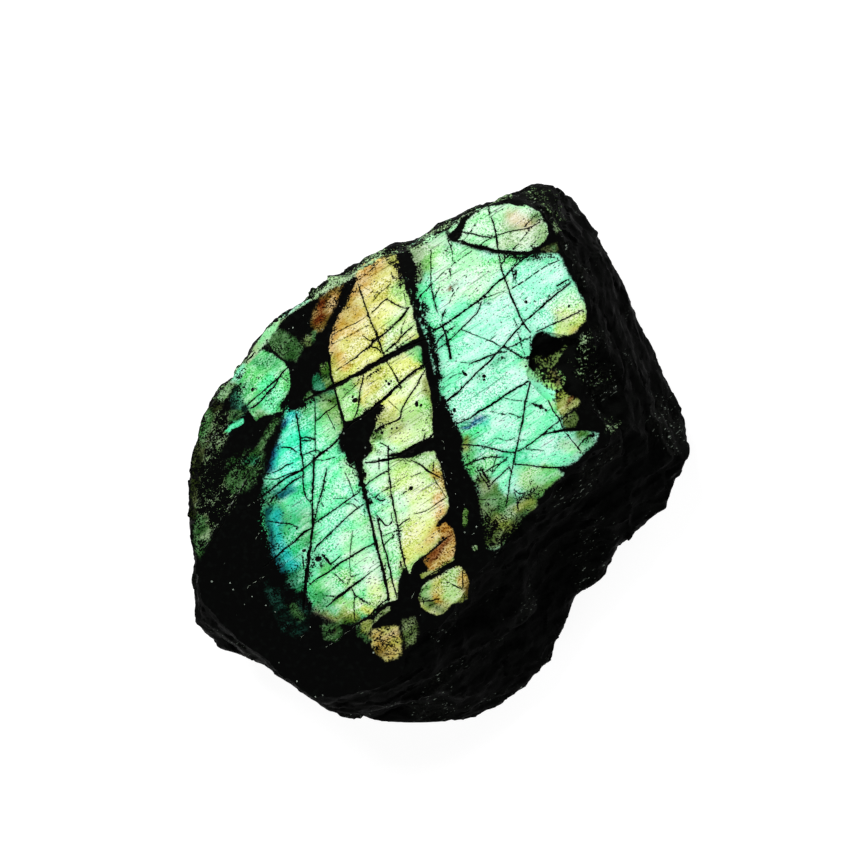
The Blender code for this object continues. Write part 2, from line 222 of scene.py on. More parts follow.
# The flashing fields of the ground faces. Each has its outline, its main colour, how soft its
# edge is, how dim it is, and strokes of other colours laid over it: colour, radius and path.
FIELDS = (
    # Gold field.
    ([(-11.8, 26.3), (-9.7, 27.1), (-7.9, 28.2), (-6.7, 28.9), (-6.0, 27.7), (-5.8, 26.2), (-5.3, 24.3),
      (-4.8, 22.7), (-4.2, 21.0), (-3.8, 19.2), (-3.1, 16.6), (-5.0, 15.5), (-7.9, 14.0), (-11.4, 11.9),
      (-15.0, 9.9), (-15.5, 12.4), (-15.8, 15.0), (-15.3, 17.5), (-14.1, 20.3), (-12.9, 22.3),
      (-12.0, 24.3)],
     "straw", 0.1, 0.0, [
        ("apricot", 2.5, (-14.2, 16.4), (-13.5, 19.2), (-12.0, 21.7)),
        ("tan", 1.7, (-15.0, 15.8), (-14.5, 18.1), (-13.4, 20.6), (-12.2, 22.9)),
        ("apricot", 2.1, (-10.8, 24.6), (-9.7, 26.3), (-8.0, 27.1)),
        ("tan", 1.0, (-11.4, 25.1), (-10.3, 26.3)),
        ("apricot", 1.7, (-8.8, 22.3), (-9.7, 21.2)),
        ("tan", 0.7, (-15.5, 15.0), (-15.1, 16.7)),
        ("lime", 1.3, (-7.2, 26.2), (-6.6, 27.4)),
        ("leaf mint", 1.4, (-6.3, 24.6), (-5.7, 22.9), (-4.9, 20.9)),
        ("straw", 1.7, (-12.5, 20.0), (-11.1, 20.9)),
        ("straw", 1.8, (-6.3, 26.0), (-8.0, 23.1), (-9.1, 22.0)),
        ("pale lime", 1.8, (-5.5, 22.9), (-5.7, 20.6), (-6.9, 18.9)),
        ("pale lime", 1.1, (-6.0, 19.5), (-6.3, 17.5), (-7.4, 16.1)),
        ("pale lime", 1.1, (-5.0, 17.5), (-3.9, 18.6), (-3.6, 17.2)),
        ("lemon", 1.4, (-7.7, 20.0), (-6.9, 20.9), (-8.6, 18.6)),
        ("straw", 1.7, (-9.1, 20.3), (-9.7, 18.6), (-10.3, 16.9)),
        ("lemon", 1.7, (-13.5, 12.1), (-11.4, 13.6), (-9.1, 14.7)),
        ("lime", 1.0, (-14.8, 11.6), (-14.2, 10.7), (-13.4, 10.7)),
        ("straw", 1.3, (-12.8, 14.7), (-11.1, 15.2)),
        ("straw", 1.3, (-13.5, 15.2), (-11.9, 14.1)),
        ("gold", 1.3, (-13.6, 17.8), (-11.9, 17.2)),
        ("gold", 1.3, (-13.5, 20.9), (-11.9, 20.0)),
        ("pale lime", 1.1, (-7.7, 15.2), (-6.6, 14.4)),
        ("leaf mint", 1.1, (-5.2, 15.2), (-3.8, 14.7)),
        ("gold", 1.0, (-14.5, 14.1), (-13.9, 13.0)),
    ]),
    # Middle field.
    ([(-15.0, 9.2), (-12.5, 10.5), (-8.8, 12.4), (-5.7, 14.1), (-2.9, 15.2), (-2.4, 12.6), (-1.8, 9.7),
      (-1.4, 6.9), (-1.1, 4.1), (-1.0, 2.4), (-2.2, 2.0), (-4.1, 1.2), (-6.0, 0.3), (-7.9, 0.0),
      (-9.7, 1.0), (-10.2, 2.0), (-9.4, 3.4), (-9.1, 4.8), (-9.7, 6.2), (-11.1, 5.7), (-12.8, 4.7),
      (-13.5, 4.8), (-14.2, 7.4)],
     "pale lime", 0.1, 0.0, [
        ("leaf mint", 2.0, (-13.6, 7.9), (-13.1, 6.2)),
        ("leaf", 1.1, (-14.2, 9.3), (-12.5, 9.9), (-11.9, 9.0)),
        ("straw", 1.7, (-10.5, 10.7), (-8.6, 11.6)),
        ("lemon", 1.8, (-6.4, 12.1), (-5.0, 13.0), (-4.1, 12.1)),
        ("emerald", 1.3, (-3.8, 14.4), (-2.9, 13.8), (-2.4, 13.0)),
        ("cream", 1.5, (-4.6, 8.3), (-2.9, 10.5)),
        ("leaf mint", 1.4, (-2.9, 7.6), (-1.8, 5.9)),
        ("khaki", 0.8, (-1.9, 10.5), (-1.4, 7.6), (-1.1, 4.8)),
        ("khaki", 1.1, (-5.2, 3.7), (-6.3, 2.6)),
        ("lemon", 2.0, (-7.7, 7.1), (-6.3, 7.6), (-6.9, 5.9)),
        ("lime", 1.3, (-8.8, 5.9), (-8.3, 4.8), (-7.2, 5.1)),
        ("pale lime", 1.7, (-4.3, 6.2), (-2.9, 4.3), (-1.8, 3.7)),
        ("straw", 1.3, (-11.1, 7.4), (-10.3, 8.8), (-9.4, 9.6)),
        ("pearl", 1.1, (-9.1, 1.4), (-7.7, 0.6), (-6.3, 0.6)),
        ("olive", 0.8, (-9.7, 2.8), (-8.6, 2.6)),
        ("cream", 1.1, (-6.0, 2.0), (-4.3, 2.8)),
        ("leaf mint", 1.3, (-13.3, 9.6), (-12.2, 8.5)),
        ("lemon", 1.0, (-10.8, 12.0), (-9.4, 11.3)),
        ("leaf mint", 1.0, (-4.9, 14.4), (-4.1, 13.8)),
    ]),
    # Peacock field.
    ([(-21.6, 7.4), (-19.8, 6.5), (-18.0, 7.8), (-15.0, 9.0), (-14.2, 6.9), (-13.8, 4.1), (-14.6, 2.0),
      (-14.2, 0.3), (-12.8, -0.5), (-11.9, -2.5), (-11.2, -5.0), (-10.3, -8.1), (-9.4, -11.4),
      (-8.4, -15.2), (-7.6, -19.1), (-7.3, -20.6), (-8.9, -21.5), (-11.1, -23.1), (-12.5, -23.7),
      (-14.5, -23.8), (-16.3, -23.1), (-17.7, -22.3), (-18.6, -20.6), (-19.2, -19.4), (-20.4, -19.7),
      (-21.8, -18.9), (-23.4, -16.9), (-24.7, -14.4), (-25.2, -11.0), (-25.4, -8.1), (-25.2, -5.6),
      (-24.6, -2.9), (-23.5, 0.3), (-22.4, 3.4)],
     "mint", 0.35, 0.0, [
        ("emerald", 1.7, (-20.4, 4.1), (-19.3, 6.2), (-19.0, 2.0)),
        ("turquoise", 1.1, (-22.2, 2.6), (-21.7, 4.3), (-21.1, 5.7)),
        ("cobalt", 0.7, (-22.5, 3.1), (-22.1, 4.8)),
        ("deep", 1.0, (-23.1, 2.3), (-22.7, 3.4)),
        ("sea", 1.4, (-21.2, 2.0), (-20.7, 3.7)),
        ("sea", 1.3, (-18.7, 4.8), (-18.4, 1.3)),
        ("patina", 1.3, (-16.7, 7.9), (-15.6, 8.2)),
        ("olive", 1.1, (-15.6, 7.9), (-14.8, 6.5), (-14.2, 4.0)),
        ("khaki", 1.0, (-14.8, 5.7), (-14.5, 3.4)),
        ("emerald", 1.1, (-17.3, 6.2), (-17.0, 3.4)),
        ("leaf", 1.1, (-15.9, 4.8), (-14.5, 4.1), (-15.0, 5.9)),
        ("mint", 1.4, (-16.7, 3.4), (-16.4, 1.2)),
        ("mint", 1.7, (-15.6, 0.9), (-16.7, -0.2)),
        ("sea", 2.0, (-22.0, -0.8), (-19.8, -0.5)),
        ("turquoise", 1.0, (-23.8, -1.9), (-23.2, -0.3), (-22.7, 0.9)),
        ("cobalt", 0.8, (-24.2, -1.7), (-23.8, -0.3), (-23.2, 1.0)),
        ("deep", 0.8, (-24.9, -2.8), (-24.4, -1.4)),
        ("sea", 2.0, (-23.4, -3.9), (-21.0, -2.8), (-19.8, -5.0)),
        ("lagoon", 1.0, (-23.8, -6.3), (-22.4, -5.3), (-21.0, -4.5)),
        ("jade", 1.3, (-24.6, -4.8), (-24.6, -6.5)),
        ("emerald", 2.0, (-23.4, -8.1), (-21.3, -9.3), (-22.7, -11.4)),
        ("sea", 2.0, (-19.8, -8.1), (-19.8, -12.1)),
        ("mint", 2.3, (-16.3, -3.6), (-15.6, -6.4), (-16.2, -9.3)),
        ("pale mint", 1.5, (-13.1, -1.1), (-12.5, -3.3), (-12.8, -5.3)),
        ("aqua", 2.0, (-14.9, -9.3), (-15.6, -12.1)),
        ("mint", 1.3, (-16.7, -11.4), (-15.9, -13.2)),
        ("pale mint", 1.7, (-11.7, -7.9), (-10.5, -10.7)),
        ("pale mint", 1.7, (-13.5, -11.4), (-12.5, -13.8)),
        ("pearl", 2.3, (-11.1, -14.2), (-9.4, -16.3)),
        ("cream", 1.7, (-9.4, -18.4), (-8.6, -20.0)),
        ("pale lime", 1.3, (-8.9, -20.8), (-10.3, -21.4), (-11.4, -20.6)),
        ("jade", 1.7, (-23.2, -13.8), (-21.6, -16.6), (-20.1, -18.6)),
        ("sea", 1.4, (-22.1, -12.8), (-20.4, -14.9)),
        ("pine", 1.1, (-24.1, -14.9), (-22.7, -17.5), (-21.0, -19.4)),
        ("green", 1.4, (-14.9, -14.9), (-16.3, -16.0)),
        ("green", 1.1, (-16.8, -18.2), (-15.3, -17.5)),
        ("leaf mint", 1.4, (-13.5, -17.0), (-12.5, -18.4)),
        ("emerald", 1.3, (-17.3, -20.6), (-16.8, -19.2)),
        ("leaf", 1.4, (-15.6, -21.7), (-14.2, -20.8), (-12.8, -21.7)),
        ("leaf", 1.1, (-15.1, -22.5), (-13.9, -22.8), (-12.0, -22.3)),
        ("olive", 0.8, (-14.9, -23.1), (-16.3, -22.5)),
        ("emerald", 1.8, (-19.0, -9.0), (-18.6, -11.5)),
        ("mint", 1.3, (-15.9, -12.9), (-15.1, -14.3)),
        ("sea", 1.7, (-19.1, -1.7), (-17.9, -3.1)),
        ("emerald", 1.3, (-19.0, 7.1), (-18.1, 5.8)),
        ("leaf", 1.1, (-16.2, 6.8), (-15.0, 5.8)),
        ("aqua", 1.1, (-15.9, 1.2), (-15.2, 0.2)),
        ("pearl", 1.1, (-12.8, -1.4), (-12.4, -3.1)),
        ("ice", 1.1, (-13.1, -4.5), (-12.2, -6.2)),
        ("green", 1.3, (-16.2, -18.9), (-15.1, -19.4)),
        ("leaf mint", 1.1, (-13.4, -21.4), (-12.2, -22.4)),
        ("olive", 0.8, (-16.2, -21.8), (-15.1, -22.4)),
        ("lemon", 0.8, (-10.5, -21.4), (-9.4, -22.3)),
        ("aqua", 1.0, (-11.1, -6.4), (-10.5, -8.1)),
        ("sage", 1.1, (-16.8, -22.1), (-14.5, -23.1)),
        ("khaki", 1.0, (-15.3, -22.8), (-12.5, -23.1)),
        ("ochre", 0.7, (-17.9, -22.6), (-15.9, -23.5)),
        ("olive", 0.7, (-13.7, -23.7), (-11.7, -23.4)),
        ("emerald", 1.1, (-16.5, -21.4), (-14.6, -22.0)),
        ("khaki", 0.7, (-13.4, -22.3), (-12.0, -22.8)),
        ("bright teal", 1.8, (-20.3, 2.8), (-21.0, -0.3), (-21.2, -2.5)),
        ("sea", 1.4, (-18.7, -1.1), (-18.1, -3.6)),
        ("green", 1.3, (-16.2, 4.3), (-15.0, 2.6)),
        ("lagoon", 0.8, (-24.5, -8.1), (-24.1, -12.4), (-22.7, -16.3)),
        ("turquoise", 1.0, (-23.2, -8.1), (-22.7, -12.1), (-21.3, -15.8)),
    ]),
    # Centre field.
    ([(-9.7, 0.7), (-7.7, -0.2), (-5.7, -0.7), (-4.1, -0.5), (-2.2, 0.3), (-1.0, 0.3), (-0.1, -1.1),
      (0.2, -3.3), (0.9, -5.6), (1.2, -7.1), (0.7, -8.4), (-0.1, -9.1), (-0.7, -9.8), (-0.1, -10.7),
      (0.7, -11.2), (-0.7, -12.8), (-1.8, -13.8), (-2.9, -14.6), (-3.8, -15.5), (-4.3, -16.9),
      (-5.2, -15.7), (-5.9, -17.7), (-6.3, -20.6), (-7.2, -20.7), (-7.7, -17.7), (-8.6, -13.8),
      (-9.4, -10.4), (-10.3, -6.4), (-11.0, -3.6), (-11.1, -1.1)],
     "pale lime", 0.12, 0.0, [
        ("pale mint", 1.7, (-10.0, -1.4), (-8.8, -2.8)),
        ("aqua", 1.4, (-9.7, -5.0), (-8.6, -6.4)),
        ("pearl", 1.7, (-8.0, -2.2), (-8.0, 0.3)),
        ("pale mint", 1.8, (-8.6, -8.6), (-7.7, -11.4)),
        ("cream", 2.3, (-5.7, -3.6), (-3.6, -5.0)),
        ("pearl", 1.7, (-5.5, -7.6), (-6.3, -5.9)),
        ("leaf", 0.8, (-3.2, -0.2), (-1.8, -0.8)),
        ("leaf", 0.8, (-2.4, 0.0), (-1.1, -0.5)),
        ("lime", 1.0, (-0.3, -1.9), (-0.1, -3.6), (0.3, -5.3)),
        ("lemon", 1.5, (-1.5, -5.7), (-0.1, -7.3)),
        ("cream", 1.8, (-2.9, -9.3), (-2.2, -6.4)),
        ("lemon", 1.7, (-4.3, -11.4), (-2.9, -10.7)),
        ("lemon", 1.4, (-1.2, -10.0), (-0.7, -8.6)),
        ("lemon", 1.3, (-4.1, -13.5), (-2.9, -13.2)),
        ("lemon", 1.1, (-4.8, -14.9), (-5.2, -12.8)),
        ("pale mint", 1.3, (-7.2, -12.8), (-6.6, -14.9)),
        ("leaf", 1.1, (-6.2, -17.0), (-5.9, -18.9)),
        ("leaf", 0.7, (-6.3, -19.1), (-5.2, -17.0)),
        ("aqua", 1.1, (-10.0, -7.3), (-9.1, -8.7)),
        ("pearl", 1.3, (-8.0, -9.5), (-6.6, -11.5)),
        ("pale mint", 1.1, (-7.2, -15.2), (-6.7, -17.4)),
        ("cream", 1.1, (-7.4, -18.3), (-7.0, -19.7)),
        ("pearl", 1.0, (-9.7, -10.1), (-8.8, -11.8)),
        ("straw", 1.3, (-2.4, -13.1), (-1.0, -13.9)),
        ("tan", 1.0, (0.0, -6.2), (0.6, -7.6)),
        ("gold", 1.1, (-1.5, -11.8), (-0.5, -10.4)),
        ("gold", 0.8, (-0.4, -2.8), (0.2, -4.5)),
        ("tan", 0.8, (-0.4, -9.0), (0.3, -8.1)),
    ]),
    # Rust patch.
    ([(-0.5, -10.4), (0.6, -9.7), (1.4, -10.4), (2.0, -11.8), (2.1, -13.5), (1.6, -14.9), (0.4, -15.7),
      (-1.4, -16.5), (-2.2, -15.7), (-2.4, -14.8), (-1.0, -13.5), (0.3, -12.2)],
     "amber", 0.12, 0.25, [
        ("tan", 1.1, (1.6, -13.2), (0.4, -14.3)),
        ("rust", 1.0, (0.7, -12.1), (-0.4, -13.2), (-1.5, -14.5)),
        ("gold", 0.8, (-0.7, -15.3), (0.9, -14.5)),
        ("gold", 0.7, (1.6, -13.2)),
    ]),
    # Sliver.
    ([(-2.9, -17.0), (-1.2, -16.2), (0.6, -15.2), (1.7, -14.5), (2.0, -14.9), (0.4, -15.9),
      (-1.4, -16.9), (-2.8, -17.7)],
     "khaki", 0.08, 0.2, [
        ("gold", 0.7, (1.0, -15.0)),
    ]),
    # Foot patch.
    ([(-2.2, -18.3), (-1.0, -17.4), (0.7, -16.6), (2.4, -15.7), (3.1, -16.2), (3.7, -17.3),
      (4.1, -19.1), (3.8, -20.6), (2.8, -21.0), (1.6, -21.1), (0.7, -22.1), (-0.7, -22.7),
      (-1.9, -22.3), (-2.8, -21.4), (-3.1, -20.1), (-2.8, -19.1)],
     "lime", 0.12, 0.2, [
        ("pale lime", 1.3, (1.6, -16.9), (2.4, -18.3)),
        ("lime", 0.7, (0.5, -17.4), (-0.1, -17.7)),
        ("pale lime", 1.3, (0.5, -18.6), (1.9, -19.7)),
        ("straw", 1.1, (-1.0, -18.3), (-0.4, -19.1)),
        ("gold", 1.0, (-1.5, -20.0), (-0.4, -20.6)),
        ("leaf", 1.0, (-2.7, -19.1), (-2.1, -20.6)),
        ("leaf", 1.0, (-1.8, -18.3), (-2.1, -19.4)),
        ("bronze", 0.7, (4.0, -17.4), (4.1, -18.9), (3.8, -20.1)),
        ("gold", 0.7, (3.3, -17.2), (3.4, -18.3)),
        ("khaki", 0.7, (3.3, -20.3), (2.1, -20.6)),
        ("sage", 1.0, (-1.8, -21.4), (-0.1, -22.0)),
        ("pale lime", 1.0, (0.7, -16.3), (1.9, -16.9)),
    ]),
    # Grain patch.
    ([(-9.6, -24.8), (-7.9, -24.5), (-6.2, -24.2), (-5.8, -25.9), (-5.5, -27.9), (-6.5, -28.8),
      (-7.9, -29.2), (-8.9, -28.3), (-9.6, -26.9)],
     "straw", 0.25, 0.5, [
        ("gold", 1.3, (-9.1, -25.7), (-8.6, -27.6), (-6.9, -27.9)),
        ("apricot", 0.8, (-8.0, -26.2), (-6.3, -25.4)),
        ("bronze", 0.7, (-9.1, -27.4), (-7.7, -28.3)),
    ]),
    # Leaf patch.
    ([(-11.3, -23.5), (-9.8, -23.4), (-9.8, -24.7), (-10.8, -25.5), (-11.5, -24.8)],
     "khaki", 0.2, 0.42, [
    ]),
    # Thin strip.
    ([(-9.6, -23.4), (-8.7, -22.4), (-7.2, -21.4), (-7.0, -22.0), (-8.3, -22.8), (-9.4, -23.8)],
     "sage", 0.08, 0.3, [
    ]),
    # Dim leaf.
    ([(-5.3, -23.7), (-3.9, -23.1), (-3.4, -25.1), (-3.6, -26.6), (-4.8, -27.1), (-5.3, -25.7)],
     "sage", 0.4, 0.5, [
    ]),
    # Dim green.
    ([(-16.8, -24.2), (-14.9, -24.0), (-13.9, -24.8), (-14.5, -26.2), (-16.1, -26.2)],
     "fern", 0.4, 0.45, [
        ("moss", 0.6, (-14.9, -25.1)),
    ]),
    # Dim olive.
    ([(-11.8, -24.0), (-10.7, -25.4), (-9.7, -26.2), (-10.6, -26.5), (-11.7, -25.4)],
     "fern", 0.3, 0.5, [
    ]),
    # Deep green.
    ([(-23.8, -17.0), (-19.9, -19.2), (-18.5, -21.1), (-19.0, -24.5), (-20.4, -25.7), (-22.1, -25.1),
      (-23.3, -22.3), (-24.7, -19.2)],
     "pine", 0.6, 0.5, [
        ("fern", 0.8, (-21.0, -21.1), (-19.9, -23.1)),
    ]),
    # Sea field.
    ([(-5.6, 28.8), (-4.2, 30.1), (-2.4, 30.8), (0.7, 31.2), (1.3, 30.1), (3.0, 29.6), (5.5, 28.7),
      (7.9, 28.2), (10.2, 28.0), (12.3, 27.8), (14.7, 28.3), (16.5, 28.3), (17.0, 27.5), (17.7, 26.0),
      (18.5, 24.6), (19.5, 23.0), (20.2, 21.8), (20.5, 20.3), (20.5, 19.2), (19.8, 18.2), (18.9, 17.2),
      (16.8, 16.5), (15.1, 16.9), (14.0, 17.5), (13.1, 16.9), (12.7, 15.4), (12.8, 14.4), (12.1, 13.3),
      (12.3, 12.4), (13.1, 11.7), (13.7, 10.9), (14.8, 9.3), (16.2, 8.9), (16.2, 7.9), (16.5, 6.2),
      (17.1, 5.1), (17.2, 3.4), (18.5, 3.1), (20.0, 3.4), (21.5, 3.1), (22.3, 2.8), (21.9, 1.9),
      (20.8, 0.9), (20.0, 0.2), (19.2, -0.8), (18.2, -1.5), (16.4, -1.9), (17.4, -2.9), (16.4, -3.6),
      (15.5, -4.3), (14.7, -5.2), (14.4, -5.7), (13.4, -6.2), (13.6, -7.2), (13.0, -8.1), (11.7, -9.1),
      (11.3, -10.4), (9.5, -11.5), (8.8, -12.8), (7.6, -13.5), (6.6, -13.2), (6.2, -11.4), (5.7, -9.0),
      (5.5, -7.0), (5.1, -5.2), (4.4, -3.1), (3.1, -1.1), (3.1, 0.6), (3.1, 2.3), (2.1, 4.3),
      (1.0, 5.7), (0.2, 7.6), (-0.4, 9.9), (-1.0, 12.1), (-1.4, 14.4), (-1.9, 16.1), (-2.8, 18.6),
      (-3.5, 21.0), (-4.2, 23.1), (-4.9, 26.0)],
     "ice", 0.22, 0.0, [
        ("sage", 1.3, (-4.6, 27.1), (-4.1, 25.3), (-3.5, 23.1)),
        ("pebble", 2.3, (-4.6, 28.5), (-2.9, 29.6), (-1.0, 30.2)),
        ("lichen", 1.7, (-4.1, 27.1), (-2.9, 27.9)),
        ("pearl", 1.1, (-1.2, 30.5), (0.5, 30.5)),
        ("lichen", 1.3, (-3.5, 25.7), (-2.4, 27.1)),
        ("leaf mint", 1.7, (-1.5, 27.1), (0.2, 27.9)),
        ("pearl", 1.7, (-0.1, 25.3), (0.7, 27.1)),
        ("pearl", 2.3, (4.1, 27.1), (5.5, 25.7)),
        ("pale mint", 2.0, (2.1, 28.5), (3.0, 26.3)),
        ("pearl", 2.0, (2.7, 21.7), (4.8, 23.1)),
        ("pearl", 1.7, (1.3, 25.3), (0.5, 23.8)),
        ("mint", 1.7, (-1.8, 21.7), (-2.4, 23.1)),
        ("mint", 1.7, (-1.0, 18.9), (-0.7, 17.2)),
        ("green", 1.4, (9.5, 27.1), (11.2, 28.0), (13.2, 27.7)),
        ("aqua", 1.4, (12.6, 27.1), (14.7, 27.4)),
        ("pale mint", 1.7, (8.3, 27.1), (6.9, 26.3)),
        ("pale mint", 1.1, (9.1, 23.9), (7.6, 23.1)),
        ("ice", 2.5, (12.6, 23.9), (15.4, 23.9), (16.8, 24.9)),
        ("ice", 2.0, (14.0, 21.7), (12.6, 21.0)),
        ("pearl", 1.7, (16.8, 21.2), (18.5, 22.0)),
        ("cream", 1.7, (17.7, 19.2), (19.6, 20.1)),
        ("cream", 1.3, (16.8, 17.2), (18.5, 17.8), (19.9, 19.2)),
        ("straw", 0.8, (18.8, 17.8), (20.1, 18.6)),
        ("ice", 1.3, (13.7, 19.5), (14.7, 20.3)),
        ("aqua", 1.3, (16.8, 27.1), (15.4, 26.3)),
        ("ice", 2.3, (6.9, 19.2), (9.0, 18.6), (5.5, 17.5)),
        ("aqua", 1.7, (2.0, 18.9), (3.4, 20.3)),
        ("mint", 1.3, (2.4, 17.5), (1.0, 16.8)),
        ("sea", 1.1, (-0.1, 16.1), (0.4, 15.0)),
        ("ice", 2.3, (4.1, 15.4), (6.9, 15.4)),
        ("aqua", 2.0, (1.3, 12.1), (2.1, 13.3)),
        ("aqua", 1.7, (1.0, 9.7), (1.3, 8.3)),
        ("ice", 2.0, (5.5, 9.7), (8.3, 11.6)),
        ("aqua", 2.0, (9.0, 11.9), (11.2, 13.3)),
        ("ice", 1.7, (10.4, 11.2), (9.0, 9.7)),
        ("leaf", 1.1, (13.0, 12.1), (13.4, 11.3)),
        ("ice", 1.7, (4.1, 6.5), (6.6, 7.4)),
        ("ice", 1.7, (5.5, 8.3), (3.4, 6.9)),
        ("aqua", 2.3, (8.3, 6.2), (11.2, 7.4)),
        ("aqua", 1.7, (12.6, 8.3), (14.0, 7.6)),
        ("mint", 1.4, (15.1, 7.6), (15.7, 6.2)),
        ("leaf mint", 1.1, (16.2, 7.1), (16.8, 5.7)),
        ("mint", 1.1, (5.5, 3.4), (6.6, 4.3)),
        ("cobalt", 0.6, (3.5, 4.3), (4.7, 4.8), (5.8, 5.4)),
        ("turquoise", 1.0, (4.7, 3.4), (6.4, 4.3)),
        ("rust", 0.3, (1.6, 23.4), (2.1, 23.6)),
        ("mint", 1.3, (4.1, 2.3), (5.5, 3.1)),
        ("green", 0.8, (3.5, 2.3), (4.4, 2.0)),
        ("aqua", 1.7, (6.9, 3.1), (8.3, 2.6)),
        ("mint", 2.0, (12.6, 4.1), (14.0, 5.1)),
        ("aqua", 2.0, (11.9, 2.0), (14.7, 2.6)),
        ("ice", 1.7, (15.4, 2.0), (16.8, 1.7)),
        ("pale mint", 1.0, (16.8, 1.7), (17.9, 1.4)),
        ("olive", 1.1, (19.6, 2.6), (21.0, 2.6)),
        ("emerald", 1.1, (18.9, 0.6), (21.0, 1.7)),
        ("aqua", 1.7, (14.0, -0.1), (16.8, -0.5)),
        ("green", 1.3, (3.5, 1.2), (3.8, -0.2), (4.7, -2.5)),
        ("khaki", 0.8, (3.3, 0.9), (3.5, 2.0)),
        ("green", 1.7, (6.9, -1.1), (5.5, -2.2)),
        ("mint", 1.4, (9.0, -2.2), (8.3, -3.9)),
        ("sea", 1.4, (11.2, -0.8), (9.7, -0.5)),
        ("leaf mint", 1.7, (12.6, -2.9), (14.7, -2.9)),
        ("leaf mint", 1.4, (14.0, -4.8), (12.3, -4.2)),
        ("sage", 2.3, (6.1, -7.1), (8.3, -8.6), (11.2, -8.6), (13.3, -7.2)),
        ("sage", 2.3, (6.4, -10.7), (8.1, -12.1), (10.0, -11.0)),
        ("patina", 1.5, (7.2, -6.4), (9.0, -7.6), (8.3, -9.3)),
        ("sage", 1.4, (7.2, -9.3), (8.3, -11.4)),
        ("lichen", 1.3, (12.0, -7.3), (10.6, -8.4)),
        ("sage", 1.3, (6.6, -12.1), (7.8, -10.7)),
        ("sage", 1.1, (9.7, -10.7), (8.3, -12.1)),
        ("patina", 1.1, (13.1, -6.4), (11.7, -8.1)),
        ("leaf", 1.3, (15.7, -3.4), (14.5, -5.0)),
        ("sage", 1.3, (6.4, -5.0), (5.8, -3.6)),
        ("olive", 0.7, (8.1, -6.4), (7.5, -5.0)),
        ("patina", 1.0, (7.8, -7.1), (9.7, -6.4)),
        ("aqua", 1.7, (3.3, 12.4), (5.0, 11.2)),
        ("mint", 1.4, (12.0, 4.0), (13.1, 2.8)),
        ("pale mint", 1.0, (11.9, 12.4), (12.7, 11.4)),
        ("mint", 1.1, (3.5, 3.7), (4.7, 2.8)),
        ("leaf", 1.3, (14.8, -1.8), (16.1, -2.6)),
        ("pale mint", 1.1, (17.6, 1.3), (18.8, 0.2)),
        ("green", 1.1, (14.0, -3.3), (15.7, -2.2)),
        ("khaki", 1.1, (7.8, -9.3), (9.2, -10.1)),
        ("khaki", 1.0, (11.2, -7.6), (12.6, -7.0)),
        ("lagoon", 0.5, (3.5, 3.7), (4.7, 4.4), (6.2, 5.1)),
        ("cobalt", 0.4, (3.4, 3.7), (4.7, 4.3)),
    ]),
    # Crown.
    ([(3.1, 31.6), (4.0, 33.3), (5.0, 34.2), (6.5, 35.0), (9.1, 35.3), (12.2, 35.2), (13.0, 34.6),
      (13.9, 34.1), (14.2, 33.4), (15.0, 32.5), (15.3, 31.1), (14.6, 30.0), (13.3, 29.0), (11.7, 28.5),
      (9.6, 28.8), (7.9, 28.9), (6.0, 29.4), (4.3, 29.8), (2.4, 30.2), (3.0, 30.8)],
     "pearl", 0.1, 0.0, [
        ("pebble", 1.8, (9.2, 32.8), (11.2, 33.5), (10.3, 31.9)),
        ("lichen", 1.0, (10.1, 32.2), (11.2, 32.8)),
        ("lichen", 1.3, (12.3, 33.1), (13.2, 33.6), (13.6, 32.8)),
        ("pearl", 1.4, (5.2, 31.9), (6.9, 32.8)),
        ("pearl", 1.3, (5.0, 33.3), (6.4, 34.2)),
        ("pale mint", 1.0, (4.7, 29.9), (6.1, 30.2)),
        ("pale mint", 1.0, (7.2, 29.8), (8.4, 29.9)),
        ("pebble", 1.0, (8.9, 30.1), (10.0, 30.5)),
        ("pebble", 1.0, (9.5, 29.4), (11.2, 29.7)),
        ("pebble", 1.1, (12.6, 30.2), (14.0, 31.7)),
        ("leaf", 1.0, (14.6, 31.1), (14.0, 29.7)),
        ("pebble", 0.6, (11.2, 31.4), (12.9, 31.6)),
        ("sand", 1.3, (10.1, 33.5), (12.3, 32.4)),
        ("pebble", 0.7, (11.7, 30.8), (13.2, 31.4)),
    ]),
    # Rim patch a.
    ([(1.0, 31.6), (1.7, 32.5), (2.6, 32.9), (2.0, 31.8), (1.3, 31.2)],
     "pearl", 0.08, 0.0, [
    ]),
    # Rim patch b.
    ([(14.1, 28.8), (15.1, 29.4), (16.3, 30.0), (16.7, 28.8), (15.4, 28.3)],
     "moss", 0.12, 0.3, [
        ("fern", 0.4, (15.7, 29.1)),
    ]),
    # Edge patch a.
    ([(13.1, 13.6), (14.1, 14.0), (15.1, 14.5), (16.2, 15.0), (17.4, 15.7), (17.9, 15.3), (16.8, 14.3),
      (16.2, 13.3), (15.1, 12.4), (14.0, 12.1), (13.1, 12.4)],
     "sage", 0.25, 0.35, [
        ("khaki", 0.7, (15.1, 13.6)),
    ]),
    # Edge patch b.
    ([(13.1, 12.4), (14.0, 11.9), (15.1, 12.4), (16.2, 11.9), (17.1, 11.0), (17.2, 9.9), (16.8, 9.0),
      (15.8, 8.8), (14.8, 9.3), (13.7, 10.5)],
     "leaf mint", 0.2, 0.35, [
        ("khaki", 1.1, (15.7, 11.3), (16.8, 10.2)),
        ("ochre", 0.8, (16.2, 11.6), (17.1, 10.5)),
    ]),
    # Edge patch c.
    ([(16.1, 8.2), (17.2, 8.8), (18.5, 8.2), (19.6, 7.6), (19.3, 6.8), (17.9, 6.1), (16.9, 5.4),
      (16.4, 6.5)],
     "khaki", 0.25, 0.3, [
        ("bronze", 0.8, (17.6, 7.4), (18.5, 8.2)),
        ("rust", 0.4, (17.8, 7.8), (18.2, 8.2)),
        ("lime", 0.7, (16.8, 7.4), (17.1, 6.2)),
    ]),
    # Edge patch d.
